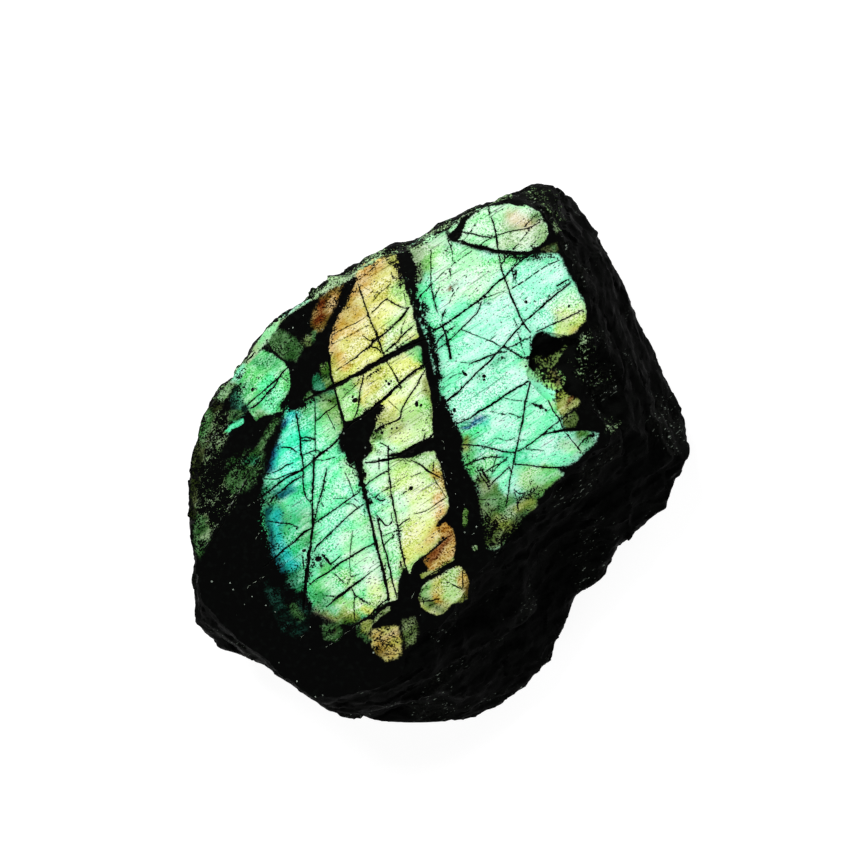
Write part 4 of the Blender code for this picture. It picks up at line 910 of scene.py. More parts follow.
# The cracks, cut as fine grooves: width, how whole the crack is, and path.
CRACKS = (
    # Gold field.
    (0.35, "whole", (-11.7, 24.1), (-10.8, 21.4), (-10.1, 19.3), (-9.6, 18.1), (-9.0, 16.9),
     (-8.7, 15.9), (-8.3, 14.7), (-7.9, 13.8)),
    (0.18, "broken", (-7.7, 28.8), (-8.1, 27.7), (-9.3, 26.5), (-10.5, 25.4), (-11.5, 24.6)),
    (0.14, "faint", (-15.3, 16.8), (-13.5, 17.8), (-11.7, 18.6), (-10.3, 19.6)),
    (0.14, "broken", (-15.6, 15.4), (-13.5, 16.4), (-11.7, 17.4), (-10.0, 18.3)),
    (0.17, "broken", (-7.0, 24.1), (-8.6, 22.7), (-9.8, 21.4)),
    (0.21, "whole", (-7.7, 21.9), (-9.0, 20.6), (-9.8, 19.9)),
    (0.28, "whole", (-7.7, 21.9), (-6.6, 21.2), (-5.5, 20.7), (-4.5, 20.5)),
    (0.48, "whole", (-4.5, 20.6), (-5.6, 19.2), (-6.7, 18.1), (-7.7, 17.2), (-8.7, 16.4), (-9.5, 15.8),
     (-10.0, 15.1), (-10.7, 14.7)),
    (0.25, "whole", (-10.0, 15.1), (-11.0, 14.5), (-11.9, 13.7), (-12.8, 13.1)),
    (0.18, "broken", (-12.8, 13.1), (-13.8, 12.4), (-14.6, 11.9)),
    (0.28, "whole", (-10.0, 15.1), (-9.1, 15.0), (-8.3, 14.3), (-7.9, 14.0)),
    (0.21, "whole", (-11.0, 16.7), (-9.8, 15.9), (-8.8, 16.4)),
    (0.14, "broken", (-11.4, 24.0), (-10.4, 23.3), (-9.0, 22.7)),
    (0.21, "whole", (-7.0, 25.7), (-6.7, 24.7), (-5.8, 25.1)),
    (0.35, "whole", (-3.8, 18.1), (-4.6, 17.5), (-5.5, 16.6), (-6.3, 15.7), (-7.4, 14.8), (-7.9, 14.3)),
    (0.18, "broken", (-3.6, 16.9), (-4.6, 16.2), (-5.5, 15.5), (-6.6, 14.7)),
    (0.17, "broken", (-5.0, 18.9), (-5.5, 17.9), (-5.7, 16.9)),
    (0.14, "faint", (-5.2, 23.1), (-4.9, 21.0)),
    # Crossing crack.
    (0.77, "whole", (-1.8, 16.2), (-3.2, 15.8), (-4.3, 15.4), (-5.7, 14.7), (-6.9, 14.1), (-7.9, 13.7),
     (-8.8, 13.0), (-10.0, 12.1)),
    (0.59, "whole", (-9.7, 12.4), (-11.0, 11.4), (-12.5, 10.9), (-13.9, 10.2), (-15.0, 9.6),
     (-16.3, 9.0), (-18.0, 8.2), (-19.8, 7.2)),
    (0.17, "whole", (-3.2, 16.1), (-5.0, 15.2), (-5.7, 14.7)),
    # Middle field.
    (0.25, "whole", (-7.9, 13.5), (-7.2, 12.4), (-6.6, 11.4), (-6.0, 10.3), (-5.6, 9.2)),
    (0.63, "whole", (-1.5, 13.3), (-2.2, 12.7), (-3.4, 11.9), (-4.6, 11.0), (-5.7, 10.0), (-6.9, 8.9),
     (-8.0, 7.8), (-9.1, 6.9), (-10.2, 5.9), (-11.4, 5.1)),
    (0.49, "whole", (-11.1, 5.2), (-12.8, 4.1), (-13.8, 3.1), (-14.6, 2.0), (-15.6, 1.0), (-17.0, 0.0),
     (-18.1, -1.0)),
    (0.42, "whole", (-17.9, -0.8), (-19.4, -2.1), (-21.0, -2.9), (-22.2, -3.6), (-23.8, -4.9),
     (-25.1, -5.8), (-26.9, -7.2)),
    (0.28, "whole", (-2.2, 11.9), (-2.9, 10.6), (-3.6, 9.3), (-4.5, 8.1), (-5.2, 6.9), (-5.6, 5.9),
     (-5.7, 5.1), (-6.7, 4.5), (-7.9, 4.1), (-9.0, 3.6)),
    (0.28, "whole", (-10.8, 11.4), (-11.1, 10.0), (-11.4, 8.6), (-11.5, 7.4), (-11.8, 5.9), (-12.4, 4.7)),
    (0.17, "broken", (-11.7, 9.9), (-12.8, 8.9), (-14.1, 7.8)),
    (0.28, "whole", (-2.2, 3.1), (-2.5, 2.0)),
    (0.14, "faint", (-7.4, 7.6), (-6.3, 6.5), (-5.2, 5.8)),
    # Left boundary.
    (0.48, "whole", (-16.0, 15.4), (-15.7, 13.3), (-15.5, 11.2), (-15.0, 9.3), (-14.5, 7.6),
     (-14.1, 5.9), (-13.6, 4.1), (-13.8, 3.1)),
    (0.21, "whole", (-14.6, 7.1), (-15.3, 6.5), (-16.2, 5.9), (-17.0, 5.1), (-17.6, 4.7)),
    (0.21, "whole", (-16.2, 6.1), (-15.5, 4.8), (-14.9, 3.4)),
    (0.23, "whole", (-17.7, 7.6), (-17.7, 3.4), (-17.7, 0.3)),
    (0.34, "whole", (-19.8, 2.3), (-18.8, 2.4), (-17.9, 2.1)),
    (0.20, "whole", (-19.7, 1.9), (-18.4, 1.9)),
    (0.21, "whole", (-19.6, -0.1), (-18.4, 0.3), (-17.3, 0.6)),
    (0.21, "whole", (-17.6, -0.8), (-16.3, -0.8), (-14.8, -0.4)),
    # Lower crossing crack.
    (0.45, "whole", (-10.7, -1.2), (-8.8, -1.0), (-7.2, -0.7), (-5.7, -0.4)),
    (0.99, "whole", (-5.9, -0.4), (-5.2, 0.3), (-4.1, 0.9), (-2.9, 1.6)),
    (0.56, "whole", (-3.2, 1.4), (-1.5, 2.3), (-1.0, 3.0)),
    (0.21, "whole", (-8.6, 1.6), (-7.7, 1.2), (-6.9, 0.5)),
    (0.31, "whole", (-4.3, -0.7), (-2.9, -1.5), (-1.5, -2.5), (0.0, -3.3)),
    (0.28, "whole", (-1.0, -1.1), (-1.1, -2.4)),
    (0.14, "faint", (-1.1, -3.1), (-0.7, -3.9), (0.0, -4.9), (0.7, -6.0)),
    (0.21, "whole", (1.0, -6.0), (-0.1, -6.6), (-1.2, -7.4), (-2.2, -8.0), (-3.8, -8.4)),
    (0.25, "whole", (-4.3, -9.0), (-5.2, -9.5), (-6.2, -10.4)),
    (0.20, "broken", (-5.5, -10.7), (-6.9, -11.0), (-8.1, -11.5)),
    (0.25, "whole", (-6.5, -11.4), (-7.4, -12.2), (-8.1, -12.9)),
    # Steep crack.
    (0.65, "whole", (-12.2, -0.1), (-11.7, -1.9), (-11.2, -3.3), (-10.8, -5.0), (-10.3, -7.1),
     (-9.8, -9.3), (-9.4, -11.4), (-9.0, -13.2), (-8.4, -15.2), (-8.0, -17.0), (-7.7, -18.4),
     (-7.3, -20.6)),
    (0.34, "whole", (-9.1, -8.6), (-8.7, -10.0), (-8.4, -11.4), (-8.1, -12.8), (-7.6, -14.2),
     (-7.3, -15.6), (-6.9, -17.7), (-6.5, -19.1), (-6.2, -20.0)),
    (0.34, "whole", (-7.4, 1.2), (-7.4, -2.2), (-7.2, -3.6), (-7.0, -5.5), (-6.7, -7.1), (-6.3, -9.0),
     (-6.0, -10.7), (-5.7, -12.8), (-5.3, -14.5), (-4.8, -16.3), (-4.6, -17.2)),
    (0.21, "whole", (-8.7, -0.5), (-8.7, -2.2)),
    (0.25, "whole", (-7.0, -8.3), (-6.9, -9.5), (-7.7, -10.1), (-8.4, -9.3), (-9.0, -8.6)),
    (0.28, "whole", (-7.2, -2.2), (-8.6, -2.9), (-10.0, -3.9), (-10.8, -4.6)),
    (0.20, "broken", (-6.4, -4.5), (-7.4, -4.8), (-8.6, -5.5), (-9.7, -6.2)),
    (0.42, "whole", (-9.1, -6.0), (-8.6, -6.6), (-8.0, -6.4)),
    (0.20, "broken", (-4.1, -3.2), (-2.9, -2.6)),
    (0.28, "broken", (-5.3, -5.5), (-3.9, -4.6)),
    # Gold wedge.
    (0.42, "whole", (0.9, -11.7), (-0.4, -12.8), (-1.5, -13.8), (-2.6, -14.6), (-3.8, -15.6),
     (-4.3, -17.3)),
    # Small field.
    (0.28, "whole", (1.9, -15.0), (0.6, -15.7), (-0.7, -16.5), (-2.1, -17.4)),
    (0.28, "whole", (2.0, -15.5), (-0.1, -16.6), (-2.2, -18.0)),
    (0.25, "whole", (3.1, -15.9), (3.1, -18.9)),
    (0.21, "whole", (0.7, -18.0), (1.2, -18.1)),
    (0.21, "whole", (1.4, -18.3), (2.4, -18.7), (3.1, -19.1)),
    (0.25, "whole", (-2.9, -20.8), (-1.2, -20.6), (-0.1, -20.4)),
    # Left lower field.
    (0.31, "whole", (-20.4, 5.8), (-20.1, 4.1), (-19.8, 2.0), (-19.7, 0.3), (-19.4, -1.5),
     (-19.4, -3.3), (-19.3, -5.0), (-18.9, -6.2), (-18.4, -6.7)),
    (0.45, "whole", (-17.9, -0.2), (-17.9, -2.2), (-18.0, -4.3), (-18.1, -6.4), (-18.1, -8.6),
     (-18.0, -10.1), (-18.2, -11.4), (-18.4, -13.2)),
    (0.77, "whole", (-18.3, -12.9), (-18.6, -13.9), (-18.7, -15.6), (-19.0, -17.7)),
    (0.92, "whole", (-18.9, -16.6), (-19.0, -17.7), (-19.2, -19.9), (-19.4, -22.0)),
    (0.31, "whole", (-16.0, -1.9), (-16.3, -3.3), (-16.7, -5.0), (-17.2, -6.7), (-17.6, -8.4),
     (-17.9, -10.1)),
    (0.25, "whole", (-22.5, 1.0), (-21.2, 0.9), (-20.3, 0.3)),
    (0.25, "whole", (-23.8, -2.6), (-22.7, -2.2), (-21.7, -1.5), (-20.7, -1.2)),
    (0.25, "whole", (-24.8, -3.5), (-23.1, -3.5), (-21.7, -2.9), (-20.3, -2.4)),
    (0.34, "whole", (-19.6, -3.1), (-21.0, -3.9), (-22.2, -5.0), (-23.4, -5.9), (-24.4, -7.2)),
    (0.28, "whole", (-24.4, -9.4), (-22.7, -9.7), (-21.3, -9.8), (-20.1, -10.3)),
    (0.28, "whole", (-11.4, -5.3), (-12.5, -6.0), (-13.9, -7.0), (-15.3, -8.0), (-16.7, -9.0),
     (-17.9, -9.8)),
    (0.34, "whole", (-18.0, -10.3), (-19.4, -11.1), (-20.8, -12.5), (-22.3, -13.6), (-23.4, -14.6),
     (-25.2, -16.1)),
    (0.28, "whole", (-10.8, -7.0), (-12.1, -7.9), (-13.5, -9.1), (-14.9, -10.5), (-16.3, -11.8),
     (-17.3, -12.8), (-17.9, -13.8)),
    (0.14, "faint", (-15.2, -6.3), (-14.2, -6.2), (-13.1, -6.2)),
    (0.21, "whole", (-13.2, -7.0), (-12.4, -7.0), (-11.7, -7.6)),
    (0.20, "whole", (-12.2, -6.3), (-11.5, -6.7)),
    (0.25, "whole", (-16.9, -6.7), (-16.5, -7.3)),
    (0.28, "whole", (-13.5, -1.2), (-12.6, -1.8), (-11.8, -2.1)),
    (0.14, "faint", (-13.5, -2.5), (-12.9, -3.9), (-12.2, -5.9)),
    (0.34, "whole", (-9.4, -12.6), (-10.7, -13.2), (-12.1, -14.1), (-12.8, -14.6), (-14.2, -15.3),
     (-15.2, -16.2), (-16.3, -16.9), (-17.7, -17.7), (-18.4, -18.3)),
    (0.18, "whole", (-12.4, -10.7), (-12.7, -12.8), (-12.8, -14.9), (-12.8, -17.0)),
    (0.56, "whole", (-16.7, -14.1), (-15.5, -15.6)),
    (0.25, "whole", (-15.5, -15.5), (-14.1, -14.3)),
    (0.28, "whole", (-19.4, -14.4), (-19.3, -16.3)),
    (0.21, "whole", (-15.1, -16.7), (-14.2, -17.6), (-13.5, -18.3)),
    (0.25, "whole", (-10.0, -16.7), (-11.1, -17.6), (-11.8, -18.0)),
    (0.62, "whole", (-11.1, -17.6), (-12.1, -18.3), (-13.1, -19.1), (-14.2, -19.9), (-15.2, -20.7)),
    (0.25, "whole", (-14.8, -20.4), (-15.5, -21.0), (-16.2, -21.6)),
    (0.17, "broken", (-8.6, -15.7), (-10.0, -16.7)),
    (0.17, "whole", (-13.2, -18.3), (-12.8, -17.4), (-11.8, -17.0)),
    (0.25, "whole", (-16.2, -20.0), (-14.9, -20.0)),
    (0.28, "whole", (-12.5, -19.1), (-12.1, -19.9), (-11.0, -20.6), (-10.0, -21.3)),
    (0.18, "whole", (-12.2, -20.0), (-12.2, -23.4)),
    (0.34, "whole", (-7.4, -20.3), (-8.3, -21.0), (-9.1, -21.8), (-10.0, -22.7), (-11.1, -23.5),
     (-12.1, -24.1)),
    (0.25, "whole", (-7.4, -21.4), (-8.6, -22.0), (-9.7, -22.8)),
    # Right field, upper.
    (0.20, "whole", (-1.4, 28.8), (-1.4, 23.8)),
    (0.28, "whole", (-1.4, 24.0), (-1.0, 21.7), (-0.5, 20.0)),
    (0.17, "broken", (5.5, 29.5), (5.1, 29.2), (3.1, 27.8), (1.3, 26.4), (0.0, 25.3), (-1.4, 23.8)),
    (0.23, "whole", (-1.4, 23.8), (-2.2, 23.0), (-3.2, 22.0)),
    (0.21, "whole", (-0.1, 23.6), (-0.8, 22.3), (-1.0, 21.7)),
    (0.25, "whole", (1.2, 26.2), (1.4, 25.0)),
    (0.23, "broken", (2.6, 23.6), (2.4, 23.4), (1.6, 22.3), (1.2, 21.3)),
    (0.34, "whole", (0.7, 20.5), (0.4, 19.9), (0.2, 19.2)),
    (0.17, "broken", (0.3, 20.0), (0.0, 18.9)),
    (0.28, "whole", (2.0, 31.3), (3.1, 31.3), (4.4, 31.1), (5.5, 30.8), (6.9, 30.6), (7.9, 30.8)),
    (0.25, "whole", (7.9, 30.8), (8.8, 31.2), (10.1, 31.5), (11.9, 31.8), (13.0, 32.2), (14.0, 32.8)),
    (0.48, "whole", (1.3, 30.2), (2.7, 30.1), (4.1, 29.6), (5.5, 29.1), (6.9, 28.8), (8.4, 28.7),
     (9.8, 28.5), (11.2, 28.5), (12.6, 28.5)),
    (0.21, "whole", (5.5, 29.5), (6.5, 30.2), (7.6, 30.6)),
    (0.18, "whole", (3.1, 30.1), (3.8, 30.9), (4.1, 31.3)),
    (0.15, "broken", (4.1, 31.3), (4.7, 32.2), (5.3, 32.9)),
    (0.17, "broken", (6.8, 34.8), (6.9, 33.9)),
    (0.18, "broken", (1.0, 30.2), (1.6, 28.5), (1.7, 27.1)),
    (0.31, "whole", (7.1, 33.5), (7.6, 31.9), (7.9, 30.2), (8.1, 28.8), (8.3, 27.4), (8.6, 26.0),
     (8.9, 25.0)),
    (0.37, "whole", (8.9, 25.0), (9.5, 23.6), (9.9, 22.3), (10.5, 20.9), (11.0, 19.6), (11.6, 18.6),
     (12.1, 17.8), (12.7, 17.1)),
    (0.39, "whole", (12.6, 28.1), (11.3, 27.3), (10.2, 26.3), (9.1, 25.1), (7.6, 23.9), (6.2, 22.4),
     (4.8, 21.3), (3.0, 20.0), (1.3, 18.8)),
    (0.42, "whole", (1.6, 18.9), (-0.1, 17.9), (-1.5, 17.1), (-2.9, 16.4)),
    (0.28, "whole", (5.8, 21.6), (5.2, 20.0), (3.8, 18.6), (2.7, 17.5), (1.3, 16.1), (-0.1, 15.0),
     (-1.5, 13.8)),
    (0.28, "whole", (2.1, 18.2), (0.9, 17.2), (-0.1, 16.4), (-1.0, 14.7)),
    (0.25, "broken", (16.8, 27.4), (15.1, 26.7), (13.7, 25.8), (12.6, 25.0), (11.2, 24.1), (9.9, 23.3)),
    (0.14, "faint", (9.0, 23.1), (5.5, 21.7), (4.1, 20.9)),
    (0.35, "whole", (18.1, 24.7), (17.1, 24.2), (16.4, 23.7)),
    (0.15, "broken", (18.5, 24.4), (15.1, 22.3)),
    (0.31, "whole", (18.2, 24.0), (16.8, 23.0), (15.4, 21.9), (14.0, 20.6), (12.7, 19.5), (11.6, 18.5),
     (10.5, 17.2), (9.5, 16.1), (8.8, 15.2)),
    (0.39, "whole", (8.8, 15.2), (7.9, 14.3), (6.9, 13.1), (5.5, 11.9), (4.1, 10.5), (2.7, 9.0),
     (1.3, 7.9), (0.3, 6.9)),
    (0.28, "whole", (20.5, 20.5), (19.1, 19.9), (17.7, 19.2), (16.1, 18.5), (14.7, 17.8), (13.3, 17.2)),
    (0.28, "whole", (12.7, 16.5), (11.4, 16.0), (10.5, 15.4), (9.2, 15.0)),
    (0.31, "whole", (8.8, 15.2), (10.0, 14.5), (11.2, 13.7), (12.1, 13.4)),
    (0.23, "whole", (6.4, 16.1), (7.4, 15.8), (8.3, 15.2)),
    (0.17, "whole", (6.9, 16.1), (7.9, 16.9)),
    (0.14, "faint", (2.8, 17.6), (4.8, 16.8), (6.4, 16.2)),
    (0.14, "broken", (10.3, 19.1), (10.7, 18.2), (11.2, 17.8)),
    (0.15, "broken", (10.9, 17.1), (11.3, 15.4), (12.0, 13.6)),
    (0.23, "broken", (14.0, 32.8), (13.0, 32.2), (12.3, 31.4), (11.5, 30.4), (10.6, 29.4), (10.2, 28.8)),
    (0.25, "whole", (9.9, 28.5), (9.2, 27.7), (8.6, 26.8)),
    (0.20, "whole", (13.9, 34.1), (13.0, 33.4), (12.3, 32.6), (11.7, 32.1)),
    (0.18, "broken", (14.0, 30.8), (12.7, 29.2)),
    (0.28, "whole", (10.0, 26.3), (10.3, 25.1), (10.5, 24.4)),
    (0.23, "whole", (10.7, 26.0), (10.5, 24.6)),
    (0.14, "faint", (2.7, 13.0), (4.1, 12.8)),
    (0.35, "whole", (4.1, 12.8), (5.1, 13.1), (6.2, 13.6), (7.3, 14.0), (8.3, 14.3), (9.2, 14.4)),
    (0.51, "whole", (0.2, 18.2), (0.7, 16.8), (1.0, 15.4)),
    (0.65, "whole", (1.0, 15.7), (1.3, 14.0), (1.4, 13.5)),
    # Right field, lower.
    (0.39, "whole", (14.1, 11.6), (13.3, 10.9), (12.4, 10.3), (11.2, 9.6), (9.7, 8.8), (8.3, 7.8),
     (6.9, 6.8), (5.5, 6.1), (4.1, 5.1)),
    (0.34, "whole", (4.4, 5.2), (2.7, 4.5), (1.3, 3.8), (0.3, 3.1)),
    (0.20, "faint", (18.5, 15.4), (16.8, 14.4), (15.4, 13.0), (14.1, 11.6)),
    (0.37, "whole", (12.6, 12.4), (12.6, 10.3), (12.3, 8.8), (11.9, 7.4), (11.6, 5.2), (11.2, 3.4)),
    (0.31, "whole", (11.2, 3.4), (10.9, 2.0), (10.6, 0.6), (10.2, -1.5), (9.7, -3.6), (9.5, -5.7),
     (9.2, -7.2)),
    (0.23, "whole", (12.6, 12.4), (13.4, 10.9), (14.1, 9.6), (15.0, 7.9), (15.8, 6.2), (16.8, 4.8),
     (17.2, 3.7), (18.2, 2.3), (19.3, 0.9), (19.8, 0.3)),
    (0.17, "whole", (14.1, 9.6), (15.1, 9.0), (16.2, 8.8)),
    (0.28, "whole", (19.1, 6.5), (18.2, 5.8), (16.8, 4.8), (15.4, 3.7), (14.3, 2.7), (13.3, 2.0),
     (11.9, 1.0), (10.7, 0.3)),
    (0.45, "whole", (19.6, 3.4), (18.5, 3.4), (16.8, 3.3), (15.4, 3.0), (14.1, 2.7)),
    (0.25, "whole", (22.0, 3.4), (20.3, 3.4), (19.3, 3.4)),
    (0.34, "whole", (2.7, 1.4), (5.5, 1.2), (6.9, 0.9), (8.3, 0.5), (9.7, 0.3), (10.7, 0.3)),
    (0.28, "whole", (3.0, -1.8), (4.4, -1.1), (5.5, -0.7), (6.5, -0.4), (7.9, -0.4), (9.0, -0.4)),
    (0.32, "whole", (10.2, -1.4), (11.9, -1.5), (14.0, -1.8), (16.1, -1.9), (18.2, -1.7)),
    (0.28, "whole", (21.3, 2.8), (20.0, 1.9), (19.3, 0.9)),
    (0.28, "whole", (5.0, -1.8), (5.7, -3.1), (6.6, -4.3), (6.8, -5.0)),
    (0.42, "whole", (5.7, -1.9), (6.2, -2.9), (6.8, -3.9)),
    (0.28, "whole", (9.7, -1.7), (8.8, -2.6), (7.8, -3.5), (7.1, -4.3)),
    (0.21, "whole", (9.3, -0.8), (7.3, -1.8), (6.1, -2.6)),
    (0.21, "whole", (7.9, -0.1), (7.5, -1.5), (7.2, -2.5)),
    (0.20, "whole", (9.5, -0.4), (8.2, -1.5), (7.2, -2.8)),
    (0.28, "whole", (10.3, -5.0), (10.7, -6.4), (10.9, -7.9), (11.3, -9.0)),
    (0.21, "whole", (10.4, -5.2), (11.2, -5.6), (12.0, -5.3)),
    (0.21, "broken", (5.5, -6.4), (6.9, -6.4), (9.0, -6.2)),
    (0.25, "whole", (6.1, -7.9), (6.9, -9.0), (7.9, -10.1), (8.5, -10.8)),
    (0.17, "broken", (9.0, 7.9), (10.4, 7.6), (11.9, 7.5), (12.6, 7.4)),
    (0.48, "whole", (12.8, 7.2), (13.5, 6.9), (14.4, 6.5)),
    (0.28, "whole", (14.4, 6.5), (15.0, 6.1)),
    (0.21, "broken", (9.5, 5.8), (10.4, 5.5), (11.4, 5.1)),
    (0.21, "broken", (7.1, 6.1), (8.3, 5.8), (9.5, 5.5)),
    (0.17, "broken", (1.2, 10.7), (2.0, 11.2), (3.0, 11.4)),
    (0.14, "broken", (7.3, 2.0), (8.1, 2.3), (9.2, 1.9), (10.4, 2.3)),
    (0.14, "faint", (10.9, 2.0), (12.1, 2.0)),
    (0.17, "broken", (11.9, 0.7), (14.0, 0.6), (14.8, 0.3)),
    # Bevel.
    (0.39, "whole", (-24.7, 16.2), (-24.2, 15.1), (-23.2, 14.0), (-22.3, 13.3)),
    (0.34, "whole", (-26.4, 14.4), (-27.1, 13.7), (-27.7, 13.1)),
    (0.28, "whole", (-21.3, 12.6), (-22.3, 11.6), (-22.9, 10.9), (-24.2, 9.8), (-25.3, 8.8),
     (-26.3, 8.0), (-27.0, 7.4), (-27.9, 6.5)),
    (0.37, "whole", (-22.9, 10.8), (-23.5, 9.6), (-24.5, 8.7), (-25.3, 7.7), (-26.3, 6.8), (-27.0, 6.5)),
    (0.20, "whole", (-22.5, 10.9), (-21.7, 10.3)),
    # Dark field.
    (0.23, "whole", (-28.3, -8.2), (-26.9, -7.4), (-25.2, -6.5)),
    (0.23, "whole", (-33.3, -13.3), (-31.2, -10.7), (-29.3, -6.9), (-26.9, -2.9)),
    # Pale scratches.
    (0.17, "pale", (-27.5, -3.4), (-28.9, -6.0), (-30.6, -8.4), (-32.0, -10.7), (-33.4, -13.3)),
    (0.14, "pale", (-27.2, -7.3), (-26.1, -6.6), (-25.1, -6.0)),
    (0.14, "pale", (-27.5, -18.9), (-26.1, -17.9), (-24.4, -16.9)),
    (0.14, "pale", (-12.0, -24.2), (-13.7, -25.5), (-15.1, -26.5), (-16.5, -27.4)),
    (0.15, "pale", (-33.4, 1.7), (-31.6, 3.1), (-30.2, 4.3)),
    (0.13, "pale", (-1.5, 13.8), (-0.5, 14.7), (0.3, 15.4)),
    (0.14, "pale", (1.6, 3.8), (2.4, 4.4)),
    (0.14, "pale", (-0.7, 6.5), (-0.1, 7.1)),
    (0.17, "pale", (0.2, 2.0), (0.7, 0.3)),
    (0.14, "pale", (0.3, -2.2), (1.0, -4.8)),
    (0.13, "pale", (-19.9, -26.2), (-19.0, -25.1)),
    (0.13, "pale", (-26.1, -12.1), (-25.6, -11.0)),
    (0.13, "pale", (-4.1, -20.3), (-3.5, -19.1)),
)

# Pits in the ground faces: place and radius.
PITS = (
    (-3.4, 7.1, 0.38), (-2.8, 6.9, 0.27), (-7.4, 10.0, 0.17), (-7.0, 10.2, 0.10), (-7.9, 9.7, 0.10),
    (-6.9, 3.6, 0.15), (-9.1, 3.3, 0.31), (-8.3, 3.0, 0.21), (-12.1, 7.6, 0.37), (-2.5, -4.0, 0.13),
    (-4.2, -4.8, 0.28), (-0.5, -10.1, 0.18), (-1.2, -11.7, 0.14), (-1.0, -11.2, 0.13),
    (0.3, -11.8, 0.20), (-2.1, -12.1, 0.08), (-2.6, -13.1, 0.10), (-4.3, -12.5, 0.08),
    (12.0, 21.5, 0.25), (12.6, 21.3, 0.10), (12.0, 20.3, 0.11), (18.1, 20.9, 0.23), (8.5, 18.6, 0.11),
    (14.1, 22.0, 0.08), (14.1, 21.6, 0.07), (3.4, 11.3, 0.39), (3.1, 11.7, 0.21), (6.1, 11.0, 0.31),
    (6.1, 10.5, 0.18), (1.9, 6.2, 0.32), (1.7, 23.1, 0.20), (0.7, 28.7, 0.20), (-9.6, 26.3, 0.08),
    (-9.4, 24.4, 0.08), (-10.4, 17.4, 0.09), (-11.0, 16.8, 0.10), (8.9, 25.0, 0.17), (13.3, 10.9, 0.17),
    (10.4, 0.2, 0.23), (7.9, -0.2, 0.18), (6.8, -4.5, 0.24), (10.9, 5.2, 0.18), (-28.5, 10.0, 0.11),
    (-26.8, 9.2, 0.27), (-25.9, 10.8, 0.11), (-26.2, 10.9, 0.08), (-14.8, -13.2, 0.11),
    (-14.2, -12.1, 0.08), (-13.5, -11.7, 0.08), (-7.9, -0.8, 0.09), (-5.9, -6.3, 0.13),
    (-5.5, -5.7, 0.10), (-8.7, -6.3, 0.14), (2.6, 31.3, 0.39), (2.1, 30.8, 0.35), (-5.2, 0.2, 0.39),
    (-4.1, 0.5, 0.35), (-20.3, -10.5, 0.23), (-19.3, -13.6, 0.35), (-17.3, -14.8, 0.46),
    (12.3, 13.6, 0.35), (12.7, 12.7, 0.32), (12.0, 12.4, 0.25), (14.0, 16.1, 0.32), (15.1, 15.8, 0.28),
    (12.8, 15.4, 0.28), (-12.4, 8.1, 0.20), (-12.6, 11.6, 0.08), (3.7, 21.3, 0.08), (5.1, 20.3, 0.08),
    (6.9, 23.1, 0.08), (5.5, 23.8, 0.08), (14.0, 3.4, 0.08), (15.4, 4.7, 0.07), (-7.3, 9.9, 0.21),
    (-7.7, 10.3, 0.17), (-7.0, 10.3, 0.15), (13.4, 6.9, 0.24), (14.1, 6.7, 0.30), (14.8, 6.2, 0.20),
    (-6.2, 3.7, 0.24),
)


def placed(name, data=None):
    """A new object in the scene, with this data."""
    made = bpy.data.objects.new(name, data)
    bpy.context.collection.objects.link(made)
    return made


def take_up(piece):
    """Makes this piece the only one selected, and the active one."""
    bpy.ops.object.select_all(action="DESELECT")
    piece.select_set(True)
    bpy.context.view_layer.objects.active = piece


def finish_with(piece, kind, **settings):
    """Adds a modifier with these settings and applies it."""
    modifier = piece.modifiers.new(kind.title(), kind)
    for name, value in settings.items():
        setattr(modifier, name, value)
    take_up(piece)
    bpy.ops.object.modifier_apply(modifier=modifier.name)


def start_edit(piece, chosen=lambda face: True):
    """Goes into edit mode with only the faces that chosen(face) picks selected."""
    take_up(piece)
    bpy.ops.object.mode_set(mode="EDIT")
    bpy.ops.mesh.select_mode(type="FACE")
    bpy.ops.mesh.select_all(action="DESELECT")
    bm = bmesh.from_edit_mesh(piece.data)
    for face in bm.faces:
        face.select = chosen(face)
    bm.select_flush(True)
    bmesh.update_edit_mesh(piece.data)


def end_edit():
    bpy.ops.object.mode_set(mode="OBJECT")


def above_bevel(place):
    return place.dot(BEVEL_OUTWARD) - BEVEL_DISTANCE


def ground_height(x, y):
    """The height of the ground faces over this point, in metres."""
    off_apex = math.hypot(x - DOME_APEX.x, y - DOME_APEX.y)
    dome = DOME_CENTRE.z + math.sqrt(DOME_RADIUS**2 - off_apex**2)
    bevel = (BEVEL_DISTANCE - BEVEL_OUTWARD.x * x - BEVEL_OUTWARD.y * y) / BEVEL_OUTWARD.z
    return min(dome, bevel)


# The stone's broken body.


def is_ground(face):
    """Whether this face of the CAD stone lies on the dome or on the bevel."""
    on_dome = all(abs((v.co - DOME_CENTRE).length - DOME_RADIUS) < ON_GROUND for v in face.verts)
    on_bevel = all(abs(above_bevel(v.co)) < ON_GROUND for v in face.verts)
    return face.normal.z > FACING_UP and (on_dome or on_bevel)


def is_base(face):
    return max(v.co.z for v in face.verts) < ON_BASE


def rough_block():
    """A merged copy of the CAD stone, built up past its ground faces and its base."""
    stone = placed("labradorite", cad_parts[NODE].data.copy())
    start_edit(stone)
    bpy.ops.mesh.remove_doubles(threshold=SAME_PLACE)
    end_edit()
    for chosen, rise in ((is_ground, BUILD_UP), (is_base, -BUILD_UP)):
        start_edit(stone, chosen)
        bpy.ops.mesh.extrude_region_move(TRANSFORM_OT_translate={"value": (0, 0, rise)})
        end_edit()
    finish_with(stone, "REMESH", mode="VOXEL", voxel_size=SKIN_VOXEL)
    return stone


